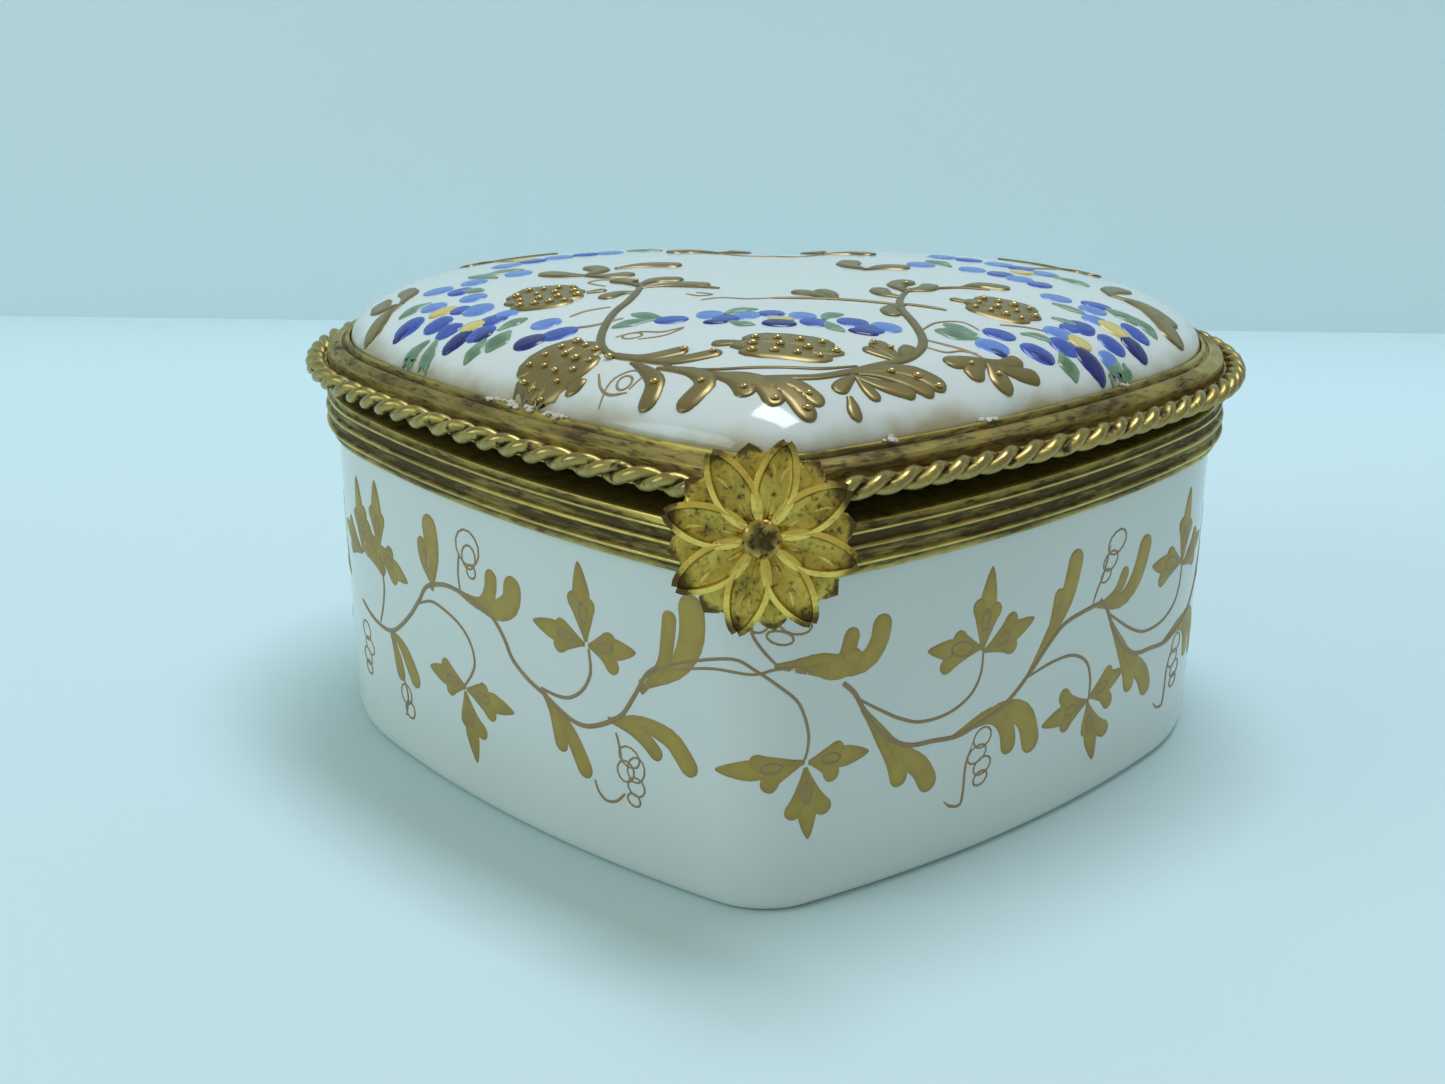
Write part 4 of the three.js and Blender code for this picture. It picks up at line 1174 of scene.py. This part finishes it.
foliage = [brush(line, width, 0.3, pointed=True) for line, width in (
    ([(-22.2, 0.2), (-23.2, -0.2), (-24.2, -1)], 1.3),
    ([(-21.4, -5.7), (-22.4, -5.9), (-23.6, -6.5)], 1.4),
    ([(-20.9, -6), (-21.3, -7), (-21.7, -8)], 1.3),
    ([(-17.5, -8.3), (-18, -9.1), (-18.6, -9.9)], 1.3),
    ([(-16, -8), (-16.5, -8.9), (-17.2, -9.9)], 1.9),
    ([(-16.8, -7.6), (-16.1, -6.9), (-15.1, -6.3)], 1.2),
    ([(-20.6, 1.6), (-19.8, 1.5), (-18.9, 1)], 1.2),
    ([(-18.6, 4.6), (-19.4, 5.6), (-20.8, 6.4)], 1.4), ([(-20, 5.6), (-18.4, 6.8), (-17, 7)], 1.4),
    ([(-7, -9.4), (-8.2, -9.6), (-9.6, -10.2)], 1.3),
    ([(-6.6, -9.2), (-7.4, -8.6), (-8.6, -7.9)], 1.1),
    ([(-2.8, -9), (-2.2, -8.2), (-0.8, -7.9)], 1),
    ([(-2.4, -10.6), (-1.8, -11.2), (-0.9, -11.6)], 1),
    ([(3.2, -9.8), (3.4, -9), (4.4, -8.4)], 1.1), ([(3.2, -10.2), (3.6, -11.2), (4.4, -12)], 1.1),
    ([(12.6, -10), (11.4, -10), (9.8, -9.8)], 1.9), ([(12.4, -9.4), (11.4, -9), (10.4, -8.4)], 1.4),
    ([(15.2, -7.9), (16.2, -7.7), (17.2, -8.3)], 0.9),
    ([(17.5, -9), (17.9, -9.9), (18.3, -10.7)], 1.6),
    ([(17.5, -3.9), (18.3, -4.1), (19.2, -4.7)], 0.8),
    ([(17.9, -0.9), (18.9, -1.4), (20, -2)], 0.9), ([(21.3, 0.3), (22.3, -0.4), (23.3, -1.4)], 1.5),
    ([(22.9, -0.2), (23.8, -0.9), (24.5, -2)], 1.3),
    ([(21.3, -6.8), (21.3, -7.7), (21.1, -8.6)], 1.5),
    ([(21.7, -6.6), (22.3, -7.1), (22.9, -7.5)], 1.2), ([(12, 8), (11.4, 9.4), (10.4, 10.2)], 1.3),
    ([(-10.6, 14.4), (-9.4, 14.6), (-8, 14.2)], 1.3), ([(19, 7.6), (20.2, 7.2), (21.2, 6)], 1.3))]
for name, strokes, thin, thick in (
        ("pale_blue_petals", pale_blue, (0.21, 0.36, 0.73), (0.10, 0.21, 0.61)),
        ("deep_blue_petals", deep_blue, (0.07, 0.15, 0.56), (0.028, 0.06, 0.38)),
        ("navy_petals", navy, (0.018, 0.03, 0.25), (0.008, 0.012, 0.12)),
        ("yellow_eyes", eyes, (0.62, 0.50, 0.13), (0.70, 0.58, 0.20)),
        ("green_leaves", foliage, (0.24, 0.38, 0.25), (0.09, 0.17, 0.085))):
    enamel = painted(name, strokes, 0.09 if "blue" in name else 0.11, on_dome)
    enamel.data.materials.append(paint(name, thin, thick, 0.22, patch=1100))
    lean(enamel)
    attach(enamel, "lid")
for piece in (lid_gilding, bead, lid_pen_work, dome):
    lean(piece)
for piece in (lid_gilding, bead, lid_pen_work):
    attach(piece, "lid")

# Crumbs of the plaster bed, squeezed out over the lip of the rim and never cleaned off.
crumbs = []
for first, last, how_many in ((-21.5, -17.2, 26), (-16.4, -14.6, 12), (15.2, 16.4, 6), (28.6, 29.4, 5),
                              (7.6, 9, 5)):
    for k in range(how_many):
        along = chance.uniform(first, last) * MM
        place, facing = on_outline(along, chance.uniform(-1.25, -0.7) * MM)
        bpy.ops.mesh.primitive_ico_sphere_add(subdivisions=2, radius=chance.uniform(0.1, 0.24) * MM)
        crumb = bpy.context.object
        for vertex in crumb.data.vertices:
            vertex.co *= chance.uniform(0.75, 1.2)
            vertex.co.z *= 0.6
        crumb.data.transform(Matrix.Translation((place.x, place.y, chance.uniform(26.1, 26.25) * MM)))
        crumbs.append(crumb)
for crumb in crumbs:
    crumb.select_set(True)
bpy.ops.object.join()
spill = bpy.context.object
spill.name = "plaster_crumbs"
spill.location = (0, 0, 0)
spill.data.materials.append(set_plaster)
lean(spill)
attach(spill, "lid")

# ---- Floor, light and camera ---------------------------------------------------------------
# A pale matt table with a low screen behind it, a soft light overhead and a broad one from the
# left, and the room filling in from all round.

bpy.ops.object.select_all(action="DESELECT")
bpy.ops.mesh.primitive_plane_add(size=3, location=(0, -0.6, 0))
table = bpy.context.object
table.name = "table"
bpy.ops.mesh.primitive_plane_add(size=3, location=(0, 0.122, -1.36), rotation=(math.pi / 2, 0, 0))
backdrop = bpy.context.object
backdrop.name = "backdrop"
for sheet, colour in ((table, (0.66, 0.83, 0.87, 1)), (backdrop, (0.78, 0.93, 0.97, 1))):
    material, nodes, links, shader = blank_material(sheet.name)
    shader.inputs["Base Color"].default_value = colour
    shader.inputs["Roughness"].default_value = 0.7
    sheet.data.materials.append(material)

# The screen shows only its front, so that it never hides the box from behind.
nodes, links = backdrop.data.materials[0].node_tree.nodes, backdrop.data.materials[0].node_tree.links
side = nodes.new("ShaderNodeNewGeometry")
clear = nodes.new("ShaderNodeBsdfTransparent")
one_sided = nodes.new("ShaderNodeMixShader")
links.new(side.outputs["Backfacing"], one_sided.inputs["Fac"])
links.new(nodes["Principled BSDF"].outputs["BSDF"], one_sided.inputs[1])
links.new(clear.outputs["BSDF"], one_sided.inputs[2])
links.new(one_sided.outputs["Shader"], nodes["Material Output"].inputs["Surface"])

world = bpy.data.worlds.new("studio")
bpy.context.scene.world = world
world.use_nodes = True
world.node_tree.nodes["Background"].inputs["Color"].default_value = (0.92, 1.0, 0.90, 1)
world.node_tree.nodes["Background"].inputs["Strength"].default_value = 0.41


def lamp(name, at, aim, size, watts, colour):
    """A rectangular soft light that points at a place."""
    light = bpy.data.lights.new(name, "AREA")
    light.shape = "RECTANGLE"
    light.size, light.size_y = size
    light.energy = watts
    light.color = colour
    stand = bpy.data.objects.new(name, light)
    bpy.context.collection.objects.link(stand)
    stand.location = at
    stand.rotation_euler = (Vector(aim) - Vector(at)).to_track_quat("-Z", "Y").to_euler()


lamp("overhead", (0.06, 0.08, 0.55), (0, 0, 0), (0.3, 0.15), 1.6, (0.78, 0.86, 1.0))
lamp("left fill", (-0.55, -0.25, 0.3), (0, 0, 0.01), (0.3, 0.3), 0.75, (0.80, 0.98, 1.0))

camera_data = bpy.data.cameras.new("camera")
camera_data.sensor_width = 36
camera_data.lens = 51.2
camera_data.clip_start = 0.005
camera = bpy.data.objects.new("camera", camera_data)
bpy.context.collection.objects.link(camera)
camera.location = Vector((1.18, -130.6, 59.5)) * MM
heading, pitch, roll = (math.radians(angle) for angle in (1.91, 19.28, 0.26))
camera.rotation_euler = (
    Matrix.Rotation(heading, 3, "Z") @ Matrix.Rotation(math.pi / 2 - pitch, 3, "X")
    @ Matrix.Rotation(roll, 3, "Z")).to_euler()
bpy.context.scene.camera = camera
bpy.context.scene.view_settings.view_transform = "Standard"
